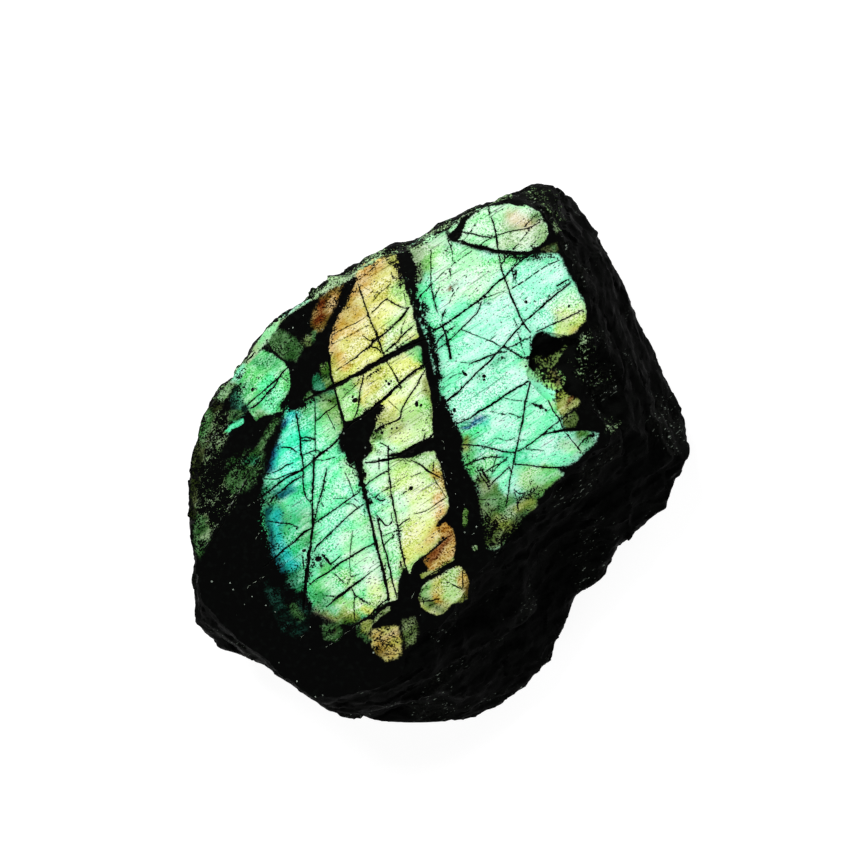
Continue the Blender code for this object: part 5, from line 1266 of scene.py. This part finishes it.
def break_skin(stone):
    """Swells, cleavage steps and hackles of the broken sides."""
    for name, (size, height, turn, settings) in RELIEF.items():
        texture = bpy.data.textures.new(name, "CLOUDS")
        texture.noise_scale = 1.0
        for key, value in settings.items():
            setattr(texture, key, value)
        lie = placed(name)
        lie.rotation_euler = turn
        lie.scale = Vector(size) * MM
        bpy.context.view_layer.update()
        finish_with(stone, "DISPLACE", texture=texture, texture_coords="OBJECT",
                    texture_coords_object=lie, strength=height * MM)
        bpy.data.objects.remove(lie)


def draw_out(stone):
    """Draws the sides out, or pushes them in, a little around the listed places."""
    points = np.empty(3 * len(stone.data.vertices))
    stone.data.vertices.foreach_get("co", points)
    points = points.reshape(-1, 3)
    spots = points[:, :2].copy()
    for x, y, reach, out in DRAWN_OUT:
        place = np.array((x, y)) * MM
        off = np.linalg.norm(spots - place, axis=1) / (reach * MM)
        share = (1 - off**2).clip(0, 1) ** 2
        points[:, :2] += share[:, None] * place / np.linalg.norm(place) * out * MM
    stone.data.vertices.foreach_set("co", points.ravel())


def ease_inside(stone):
    """Eases the points that swell past the sides of the stone's box back inside it."""
    low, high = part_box(NODE)
    for v in stone.data.vertices:
        for axis in (0, 1):
            middle = (low[axis] + high[axis]) / 2
            side = 1 if v.co[axis] > middle else -1
            start = (high[axis] - low[axis]) / 2 - BOX_GAP - EASING
            over = abs(v.co[axis] - middle) - start
            if over > 0:
                v.co[axis] = middle + side * (start + EASING * (1 - math.exp(-over / EASING)))


# The grinding of the dome, the bevel and the base.


def grinding_envelope():
    """All the space that grinding leaves: below the dome and the bevel, above the base."""
    low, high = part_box(NODE)
    size = high - low + Vector((2, 2, 0)) * OVERSIZE
    bpy.ops.object.select_all(action="DESELECT")
    bpy.ops.mesh.primitive_grid_add(
        x_subdivisions=round(size.x / GROUND_CELL), y_subdivisions=round(size.y / GROUND_CELL),
        size=1, location=(0, 0, CROWN_HEIGHT),
    )
    envelope = bpy.context.object
    envelope.name = "grinding envelope"
    envelope.scale = (size.x, size.y, 1)
    bpy.ops.object.transform_apply()
    centre = placed("dome centre")
    centre.location = DOME_CENTRE
    bpy.context.view_layer.update()
    finish_with(envelope, "CAST", cast_type="SPHERE", factor=1.0, radius=0, size=DOME_RADIUS,
                use_radius_as_size=False, object=centre)
    bpy.data.objects.remove(centre)
    start_edit(envelope)
    bpy.ops.mesh.bisect(plane_co=BEVEL_OUTWARD * BEVEL_DISTANCE, plane_no=BEVEL_OUTWARD,
                        threshold=SAME_PLACE)
    bm = bmesh.from_edit_mesh(envelope.data)
    for v in bm.verts:
        if above_bevel(v.co) > 0:
            v.co.z -= above_bevel(v.co) / BEVEL_OUTWARD.z
    bmesh.update_edit_mesh(envelope.data)
    bpy.ops.mesh.select_mode(type="EDGE")
    bpy.ops.mesh.select_all(action="DESELECT")
    bm = bmesh.from_edit_mesh(envelope.data)
    for edge in bm.edges:
        edge.select = edge.is_boundary
    bmesh.update_edit_mesh(envelope.data)
    bpy.ops.mesh.extrude_edges_move()
    bpy.ops.transform.resize(value=(1, 1, 0), center_override=(0, 0, 0))
    bpy.ops.mesh.edge_face_add()
    bpy.ops.mesh.select_all(action="SELECT")
    bpy.ops.mesh.normals_make_consistent(inside=False)
    end_edit()
    return envelope


def wear(piece, materials, slot):
    """Gives the piece these materials, with all of its faces in one slot."""
    piece.data.materials.clear()
    for material in materials:
        piece.data.materials.append(material)
    for polygon in piece.data.polygons:
        polygon.material_index = slot


def grind(stone, materials):
    """Takes off what reaches past the envelope, and leaves its upper faces polished."""
    envelope = grinding_envelope()
    wear(stone, materials, SKIN)
    wear(envelope, materials, SKIN)
    for polygon in envelope.data.polygons:
        if polygon.normal.z > FACING_UP:
            polygon.material_index = POLISH
    finish_with(stone, "BOOLEAN", operation="INTERSECT", object=envelope, solver="MANIFOLD")
    bpy.data.objects.remove(envelope)


# The cracks and pits.


def at_places(places, run, line):
    """The points that lie these distances along the line, whose corners lie at run."""
    return np.column_stack([np.interp(places, run, line[:, axis]) for axis in (0, 1)])


def evenly(path):
    """The path as a smooth line through its points, and how far along it each corner is, in mm."""
    path = np.array(path, float)
    ends = np.vstack([2 * path[0] - path[1], path, 2 * path[-1] - path[-2]])
    fine = [path[0]]
    for before, start, stop, after in zip(ends, ends[1:], ends[2:], ends[3:]):
        for t in np.linspace(0, 1, CURVE_PARTS + 1)[1:]:
            fine.append(0.5 * (
                2 * start + (stop - before) * t
                + (2 * before - 5 * start + 4 * stop - after) * t**2
                + (3 * start - before - 3 * stop + after) * t**3
            ))
    fine = np.array(fine)
    run = np.append(0, np.cumsum(np.linalg.norm(np.diff(fine, axis=0), axis=1)))
    places = np.linspace(0, run[-1], max(FEWEST_CORNERS, round(run[-1] / CRACK_STEP) + 1))
    return at_places(places, run, fine), places


def in_parts(places, chance):
    """Where a broken crack starts and stops along its run, in mm."""
    parts = []
    at = 0.0
    while at < places[-1] - DASH[0]:
        stop = min(at + chance.uniform(*DASH), places[-1])
        parts.append((at, stop))
        at = stop + chance.uniform(*DASH_GAP)
    return parts


def crack_blade(line, widths):
    """The wedge that cuts one groove along this line, with its own width at each corner."""
    ahead = np.gradient(line, axis=0)
    across = np.column_stack([-ahead[:, 1], ahead[:, 0]])
    across /= np.maximum(np.linalg.norm(across, axis=1, keepdims=True), TINY)
    corners = []
    for (x, y), (side_x, side_y), width in zip(line, across, widths):
        for off, up in GROOVE_PROFILE:
            place = Vector((x + side_x * off * width, y + side_y * off * width)) * MM
            corners.append((*place, ground_height(*place) + up * width * MM))
    sides = len(GROOVE_PROFILE)
    faces = [range(sides), range(len(corners) - sides, len(corners))]
    for first in range(0, len(corners) - sides, sides):
        for side in range(sides):
            following = (side + 1) % sides
            faces.append((first + side, first + following,
                          first + following + sides, first + side + sides))
    mesh = bpy.data.meshes.new("crack blade")
    mesh.from_pydata(corners, [], faces)
    return placed("crack blade", mesh)


def crack_blades():
    """The blades of all the cracks, each with the material slot of its groove."""
    chance = np.random.default_rng(SEED)
    blades = []
    for width, kind, *path in CRACKS:
        line, places = evenly(path)
        parts = in_parts(places, chance) if kind in ("broken", "pale") else [(0, places[-1])]
        for start, stop in parts:
            corners = max(FEWEST_CORNERS, round((stop - start) / CRACK_STEP) + 1)
            run = np.linspace(start, stop, corners)
            part = at_places(run, places, line)
            part += chance.uniform(-WANDER, WANDER, part.shape)
            closing = np.minimum(run - start, stop - run) / min(TAPER, (stop - start) / 2)
            stretches = np.arange(0, stop + 2 * SWELL_LENGTH, SWELL_LENGTH)
            swells = np.interp(run, stretches, chance.uniform(*SWELLS, len(stretches)))
            ragged = swells + chance.uniform(-RAGGEDNESS, RAGGEDNESS, corners)
            widths = width * (FAINT if kind == "faint" else 1) * ragged
            widths *= END_WIDTH + (1 - END_WIDTH) * closing.clip(0, 1)
            blades.append((crack_blade(part, widths), SCRATCH if kind == "pale" else CRACK))
    return blades


def pit_punches():
    """Small uneven punches, one for each pit, with the material slot of the pits."""
    chance = np.random.default_rng(SEED + 1)
    punches = []
    for x, y, radius in PITS:
        place = (x * MM, y * MM)
        depth = PIT_DEPTH * radius
        bpy.ops.object.select_all(action="DESELECT")
        bpy.ops.mesh.primitive_cone_add(
            vertices=PIT_CORNERS, radius1=PUNCH_POINT * radius * MM, radius2=PUNCH_TOP * radius * MM,
            depth=PUNCH_HEIGHT * depth * MM, rotation=(0, 0, chance.uniform(*PUNCH_TURN)),
            location=(*place, ground_height(*place) + PUNCH_LIFT * depth * MM),
        )
        punch = bpy.context.object
        punch.scale = (chance.uniform(*PUNCH_LENGTH), chance.uniform(*PUNCH_BREADTH), 1)
        bpy.ops.object.transform_apply()
        punches.append((punch, CRACK))
    return punches


def cut_cracks(stone, materials):
    """Cuts all the grooves and pits in one go."""
    tools = crack_blades() + pit_punches()
    kit = bpy.data.collections.new("crack tools")
    bpy.context.scene.collection.children.link(kit)
    for tool, slot in tools:
        start_edit(tool)
        bpy.ops.mesh.normals_make_consistent(inside=False)
        end_edit()
        wear(tool, materials, slot)
        bpy.context.collection.objects.unlink(tool)
        kit.objects.link(tool)
    finish_with(stone, "BOOLEAN", operation="DIFFERENCE", operand_type="COLLECTION",
                collection=kit, solver="MANIFOLD")
    for tool, _ in tools:
        bpy.data.objects.remove(tool)
    bpy.data.collections.remove(kit)


# The drawing of the flash.


def off_path(spots, path, closed=False):
    """How far each spot is from this path, in mm."""
    path = np.array(path, float)
    stops = np.roll(path, -1, axis=0) if closed else path[1:]
    starts = path if closed else path[:-1]
    if not len(starts):
        return np.linalg.norm(spots - path[0], axis=1)
    nearest = np.full(len(spots), np.inf)
    for start, stop in zip(starts, stops):
        along = stop - start
        share = ((spots - start) @ along / max(along @ along, TINY)).clip(0, 1)
        nearest = np.minimum(nearest, np.linalg.norm(spots - start - share[:, None] * along, axis=1))
    return nearest


def inside(spots, outline):
    """Whether each spot is inside this outline."""
    outline = np.array(outline, float)
    found = np.zeros(len(spots), bool)
    x, y = spots.T
    for (x0, y0), (x1, y1) in zip(outline, np.roll(outline, -1, axis=0)):
        if y0 != y1:
            found ^= ((y0 > y) != (y1 > y)) & (x < (x1 - x0) * (y - y0) / (y1 - y0) + x0)
    return found


def fading(off, reach):
    """1 on a stroke's path, falling to 0 at its reach."""
    return (1 - (off / reach) ** 2).clip(0, 1) ** STROKE_FALL


def within(spots, path, reach):
    """The spots that are no further than this from the path's box."""
    low = np.min(path, axis=0) - reach
    high = np.max(path, axis=0) + reach
    return np.flatnonzero(((spots >= low) & (spots <= high)).all(axis=1))


def strayed(spots, places, size, amount):
    """The spots moved about by up to this amount, so that what is drawn at them looks grown."""
    moved = [noise.noise_vector(Vector(place) / size + Vector((0, 0, size))) for place in places]
    return spots + (amount * np.array(moved)[:, :2].T).T


def draw_flash(stone):
    """Draws the fields, strokes and shades on the stone's points, for its materials to read."""
    noise.seed_set(SEED)
    places = np.array([v.co for v in stone.data.vertices]) / MM
    spots = places[:, :2]
    below = np.array([ground_height(*v.co[:2]) for v in stone.data.vertices]) / MM - places[:, 2]
    brushed = spots
    for size, amount in STROKE_STRAY:
        brushed = strayed(brushed, places, size, amount)
    edged = strayed(spots, places, *EDGE_STRAY)
    edged = strayed(edged, places, WALL_STRAY, WALL_STRAY_PER_MM * below.clip(0, WALL_STRAY_DEPTH))
    colour = np.zeros((len(spots), 3))
    depth = np.full(len(spots), -OUT_OF_REACH)
    softness = np.full(len(spots), PLAIN_SOFTNESS)
    shade = np.zeros(len(spots))
    for outline, main, soft, dim, strokes in FIELDS:
        near = within(edged, outline, OUT_OF_REACH)
        into = off_path(edged[near], outline, closed=True)
        into = np.where(inside(edged[near], outline), into, -into)
        tint = np.tile(np.array(FLASH[main]), (len(near), 1))
        for name, reach, *path in strokes:
            share = fading(off_path(brushed[near], path), STROKE_SPREAD * reach)[:, None]
            tint += (np.array(FLASH[name]) - tint) * share
        here = into > depth[near]
        colour[near[here]] = tint[here]
        softness[near[here]] = soft
        shade[near[here]] = dim
        depth[near] = np.maximum(depth[near], into)
    for value, reach, *path in SHADES:
        near = within(brushed, path, reach)
        dimmed = value * (1 - off_path(brushed[near], path) / reach)
        shade[near] = np.maximum(shade[near], dimmed)
    beside = np.full(len(spots), OUT_OF_REACH)
    for width, kind, *path in CRACKS:
        near = within(spots, path, OUT_OF_REACH)
        off = off_path(spots[near], path) - WALL_SHARE * width
        beside[near] = np.minimum(beside[near], off / (1 if width > WIDE_CRACK else THIN_CRACK_REACH))
    drawing = {"depth": depth, "softness": softness, "shade": shade, "beside": beside, "below": below}
    for name, values in drawing.items():
        layer = stone.data.attributes.new(name, "FLOAT", "POINT")
        layer.data.foreach_set("value", values.astype(np.float32))
    layer = stone.data.attributes.new("flash", "FLOAT_COLOR", "POINT")
    colour = np.column_stack([colour, np.ones(len(spots))])
    layer.data.foreach_set("color", colour.astype(np.float32).ravel())


# The materials.


class Look:
    """One material, and the steps that work out its look. An input is a value or a socket."""

    def __init__(self, name):
        self.material = bpy.data.materials.new(name)
        self.material.use_nodes = True
        self.tree = self.material.node_tree
        self.tree.nodes.remove(self.tree.nodes["Principled BSDF"])
        self.surface = self.tree.nodes.new("ShaderNodeBsdfPrincipled")
        outlet = self.tree.nodes["Material Output"]
        self.tree.links.new(self.surface.outputs["BSDF"], outlet.inputs["Surface"])

    def fill(self, made, inputs):
        """Fills these inputs: Base_Color is the one of that name, and _0 is the first one."""
        for name, value in inputs.items():
            socket = made.inputs[int(name[1:]) if name[0] == "_" else name.replace("_", " ")]
            if isinstance(value, bpy.types.NodeSocket):
                self.tree.links.new(value, socket)
            else:
                socket.default_value = value

    def finish(self, **inputs):
        """Sets the surface, and gives the material."""
        self.fill(self.surface, inputs)
        return self.material

    def node(self, kind, settings=None, **inputs):
        made = self.tree.nodes.new("ShaderNode" + kind)
        for name, value in (settings or {}).items():
            setattr(made, name, value)
        self.fill(made, inputs)
        return made

    def drawn(self, name, output="Fac"):
        """What is drawn on the stone's points under this name."""
        return self.node("Attribute", {"attribute_name": name}).outputs[output]

    def maths(self, operation, a, b, c=0.0):
        return self.node("Math", {"operation": operation}, _0=a, _1=b, _2=c).outputs[0]

    def plus(self, a, b):
        return self.maths("ADD", a, b)

    def minus(self, a, b):
        return self.maths("SUBTRACT", a, b)

    def times(self, a, b):
        return self.maths("MULTIPLY", a, b)

    def larger(self, a, b):
        return self.maths("MAXIMUM", a, b)

    def added(self, value, share, to):
        """This share of the value, added to another."""
        return self.maths("MULTIPLY_ADD", value, share, to)

    def stray(self, grain):
        """How far the grain is above or below its middle."""
        return self.minus(grain, NOISE_MIDDLE)

    def strayed(self, value, grain, amount):
        """The value, raised and lowered by the grain."""
        return self.added(self.stray(grain), amount, value)

    def ramp(self, value, low, high, to_low=0.0, to_high=1.0):
        """The value's smooth passage from low to high."""
        return self.node(
            "MapRange", {"interpolation_type": "SMOOTHSTEP"}, Value=value,
            From_Min=low, From_Max=high, To_Min=to_low, To_Max=to_high,
        ).outputs[0]

    def passing(self, value, threshold, before, after):
        """The value's smooth passage from just before the threshold to just after it."""
        return self.ramp(value, self.minus(threshold, before), self.plus(threshold, after))

    def mix(self, share, a, b, how="MIX"):
        settings = {"data_type": "RGBA", "blend_type": how}
        return self.node("Mix", settings, _0=share, _6=a, _7=b).outputs[2]

    def deepened(self, colour, amount):
        return self.node("Gamma", _0=colour, _1=amount).outputs[0]

    def sized(self, size, turn=0.0, shift=0.0):
        """Places on the stone, counted in this size in mm along turned axes."""
        return self.node(
            "Mapping", {"vector_type": "TEXTURE"}, Vector=self.node("TexCoord").outputs["Object"],
            Rotation=(0, 0, turn), Scale=[s * MM for s in size], Location=(shift, shift, 0),
        ).outputs[0]

    def grains(self, size, turn=0.0, detail=2.0, roughness=0.5, shift=0.0):
        """Noise whose grains have this size in mm: one number, or three along its turned axes."""
        size = size if isinstance(size, tuple) else (size, size, size)
        return self.node(
            "TexNoise", Vector=self.sized(size, turn, shift), Scale=1.0, Detail=detail,
            Roughness=roughness,
        ).outputs[0]

    def dots(self, spacing, radius, share):
        """1 inside scattered dots of this radius in mm, found in this share of the cells."""
        place = self.sized((spacing, spacing, spacing))
        cell = self.node("TexVoronoi", Vector=place, Scale=1.0, Randomness=1.0)
        pick = self.node("SeparateColor", _0=cell.outputs["Color"])
        chosen = self.maths("LESS_THAN", pick.outputs[0], share)
        reach = self.times(pick.outputs[1], radius / spacing)
        near = self.maths("LESS_THAN", cell.outputs["Distance"], reach)
        return self.times(near, chosen)

    def bump(self, relief, strength, depth):
        """Fine relief, up to this deep in mm."""
        return self.node("Bump", Strength=strength, Distance=depth * MM, Height=relief).outputs[0]


def polished_face():
    """Clear polish over the flash, its streaks and grains, and the black stone between the fields."""
    look = Look("polished labradorite")
    fine = look.grains(0.24, roughness=0.65)
    coarse = look.grains(0.8, detail=3, shift=3.1)
    patchy = look.ramp(look.grains(3.6, detail=3, shift=4.4), 0.42, 0.62)
    dusty = look.ramp(look.grains(5.0, shift=7.7), 0.42, 0.56)
    streaks = look.grains((3.2, 0.22, 1.0), LAMELLAE, roughness=0.6)
    bands = look.grains((5.0, 1.5, 1.0), LAMELLAE, detail=3, roughness=0.55, shift=5.3)
    hairs = look.grains((6.0, 0.30, 1.0), LAMELLAE, detail=1, shift=8.7)
    flecks = look.grains((0.42, 0.17, 1.0), LAMELLAE, detail=1, shift=6.1)
    scratches = look.grains((2.5, 0.06, 1.0), POLISHING, detail=1)

    # How far into a field a point is, with a grained edge.
    softness = look.drawn("softness")
    stray = look.times(look.stray(fine), look.added(softness, 1.6, 0.30))
    stray_more = look.times(look.stray(coarse), look.times(softness, 2.0))
    into = look.plus(look.drawn("depth"), look.plus(stray, stray_more))
    field = look.ramp(into, look.times(softness, -1.0), softness)
    rim = look.ramp(into, look.added(softness, 3.0, 0.35), 0.0)

    # Dark grains, closer together in the shade, beside the cracks and along the rim of a field.
    beside = look.drawn("beside")
    dim_beside = look.ramp(look.strayed(beside, coarse, 0.6), 0.45, 0.0, to_high=0.36)
    shade = look.larger(look.larger(look.drawn("shade"), look.times(rim, 0.34)), dim_beside)
    both = look.plus(look.times(fine, 0.65), look.times(coarse, 0.35))
    threshold = look.added(shade, 0.52, look.added(patchy, 0.09, 0.19))
    lit = look.passing(both, threshold, 0.03, 0.04)
    clean = look.times(
        look.ramp(flecks, 0.31, 0.35, to_low=0.08), look.ramp(hairs, 0.27, 0.33, to_low=0.45)
    )
    clean = look.times(clean, look.ramp(look.strayed(beside, fine, 0.55), -0.03, 0.06))

    # The flash deepens in the darker grains and streaks: its lesser colours go first.
    dark_grain = look.times(look.ramp(fine, 0.54, 0.36), look.added(patchy, 0.7, 0.3))
    deeper = look.added(dark_grain, 1.7, 0.40)
    deeper = look.added(look.ramp(streaks, 0.55, 0.32), 0.35, deeper)
    deeper = look.added(look.ramp(bands, 0.58, 0.38), 0.60, deeper)
    deeper = look.added(shade, 0.8, deeper)
    flash = look.deepened(look.drawn("flash", "Color"), deeper)
    dimmer = look.times(look.added(shade, -0.58, 1.0), look.added(dark_grain, -0.30, 1.0))
    glow = look.times(look.times(field, lit), look.times(clean, dimmer))
    flash = look.mix(1.0, flash, glow, "MULTIPLY")

    body = look.mix(look.ramp(coarse, 0.5, 0.72), PITCH, COAL)
    dust = look.times(look.dots(spacing=1.0, radius=0.13, share=0.7), dusty)
    dust = look.times(dust, look.minus(1.0, field))
    body = look.mix(dust, body, PALE_DUST)
    relief = look.plus(scratches, look.times(coarse, 0.7))
    return look.finish(
        Base_Color=look.mix(1.0, flash, body, "ADD"), Roughness=0.15, Specular_IOR_Level=0.2,
        Coat_Weight=0.6, Coat_Roughness=0.05,
        Normal=look.bump(relief, strength=0.10, depth=0.02),
    )


def groove_walls(name, dark, pale, grain, low, high, roughness):
    """Dull dark stone with paler grains, for the walls of the grooves."""
    look = Look(name)
    share = look.ramp(look.grains(grain), low, high)
    colour = look.mix(share, dark, pale)
    return look.finish(Base_Color=colour, Roughness=roughness, Specular_IOR_Level=0.1)


def broken_skin():
    """Charcoal feldspar, darker and paler in coarse grains, and pale weathered crust where the fields draw
    it.
    """
    look = Look("broken labradorite")
    fine = look.grains(0.35, detail=3, roughness=0.65)
    coarse = look.grains(2.2, detail=3, roughness=0.6, shift=0.4)
    patches = look.grains(8.0, shift=2.2)
    chips = look.grains((0.9, 0.22, 0.9), LAMELLAE, roughness=0.6, shift=9.1)
    stone = look.mix(look.ramp(coarse, 0.40, 0.62), CHARCOAL, ASH)
    weathered = look.times(look.ramp(patches, 0.50, 0.66), look.ramp(fine, 0.44, 0.60))
    stone = look.mix(look.times(weathered, 0.3), stone, WEATHERED)
    # Painted glints: pale specks in the skin's colour, painted highlights of small cleavage faces,
    # gathered in patches.
    painted_glints = look.times(look.ramp(chips, 0.66, 0.70), look.ramp(patches, 0.50, 0.60))
    stone = look.mix(painted_glints, stone, PAINTED_GLINT)

    # The crust, which breaks up further below the rim.
    below = look.drawn("below")
    crusted = look.ramp(look.strayed(look.drawn("depth"), fine, 0.9), 0.0, 0.25)
    crusted = look.times(crusted, look.ramp(below, 13.0, 8.0))
    threshold = look.added(look.drawn("shade"), 0.36, 0.36)
    threshold = look.strayed(look.added(below, 0.015, threshold), coarse, 0.5)
    lit = look.passing(fine, threshold, 0.05, 0.08)
    crust = look.deepened(look.drawn("flash", "Color"), 1.35)
    relief = look.plus(fine, look.times(look.grains(0.12, detail=1), 0.5))
    return look.finish(
        Base_Color=look.mix(look.times(crusted, lit), stone, crust), Specular_IOR_Level=0.007,
        Roughness=look.ramp(coarse, 0.35, 0.65, to_low=0.45, to_high=0.70),
        Normal=look.bump(relief, strength=0.5, depth=0.12),
    )


stone = rough_block()
break_skin(stone)
draw_out(stone)
ease_inside(stone)
materials = (
    broken_skin(),
    polished_face(),
    groove_walls("crack", CRACK_BLACK, CRACK_DUST, grain=0.5, low=0.45, high=0.75, roughness=0.8),
    groove_walls("scratch", SCRATCH_BLACK, CRUSHED, grain=0.3, low=0.40, high=0.56, roughness=0.7),
)
grind(stone, materials)
cut_cracks(stone, materials)
draw_flash(stone)
take_up(stone)
bpy.ops.object.shade_smooth_by_angle(angle=SMOOTH_UP_TO)
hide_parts(NODE)
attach(stone, "root")

# The floor, the lamps and the camera.


def soft_lamp(name, bearing, rise, size, watts):
    """A round lamp that faces the stone."""
    lamp = bpy.data.lights.new(name, "AREA")
    lamp.shape = "DISK"
    lamp.size = size
    lamp.energy = watts
    stand = placed(name, lamp)
    turn, rise = math.radians(bearing), math.radians(rise)
    place = Vector((math.cos(turn) * math.cos(rise), math.sin(turn) * math.cos(rise), math.sin(rise)))
    stand.location = place * LAMP_DISTANCE
    stand.rotation_euler = (-place).to_track_quat("-Z", "Y").to_euler()


bpy.ops.object.select_all(action="DESELECT")
bpy.ops.mesh.primitive_plane_add(size=FLOOR_SIZE, location=(0, 0, 0))
floor = bpy.context.object
floor.name = "floor"
floor.data.materials.append(Look("lit white table").finish(
    Base_Color=TABLE_GREY, Roughness=1.0, Specular_IOR_Level=0.0,
    Emission_Color=WHITE, Emission_Strength=FLOOR_GLOW,
))

for name, settings in LAMPS.items():
    soft_lamp(name, *settings)
world = bpy.data.worlds.new("studio")
bpy.context.scene.world = world
world.use_nodes = True
world.node_tree.nodes["Background"].inputs["Color"].default_value = WHITE
world.node_tree.nodes["Background"].inputs["Strength"].default_value = STUDIO_LIGHT
bpy.context.scene.view_settings.view_transform = "Standard"

camera = placed("camera", bpy.data.cameras.new("camera"))
camera.data.lens = CAMERA_LENS
camera.data.sensor_width = CAMERA_SENSOR
camera.location = CAMERA_PLACE
bpy.context.scene.camera = camera
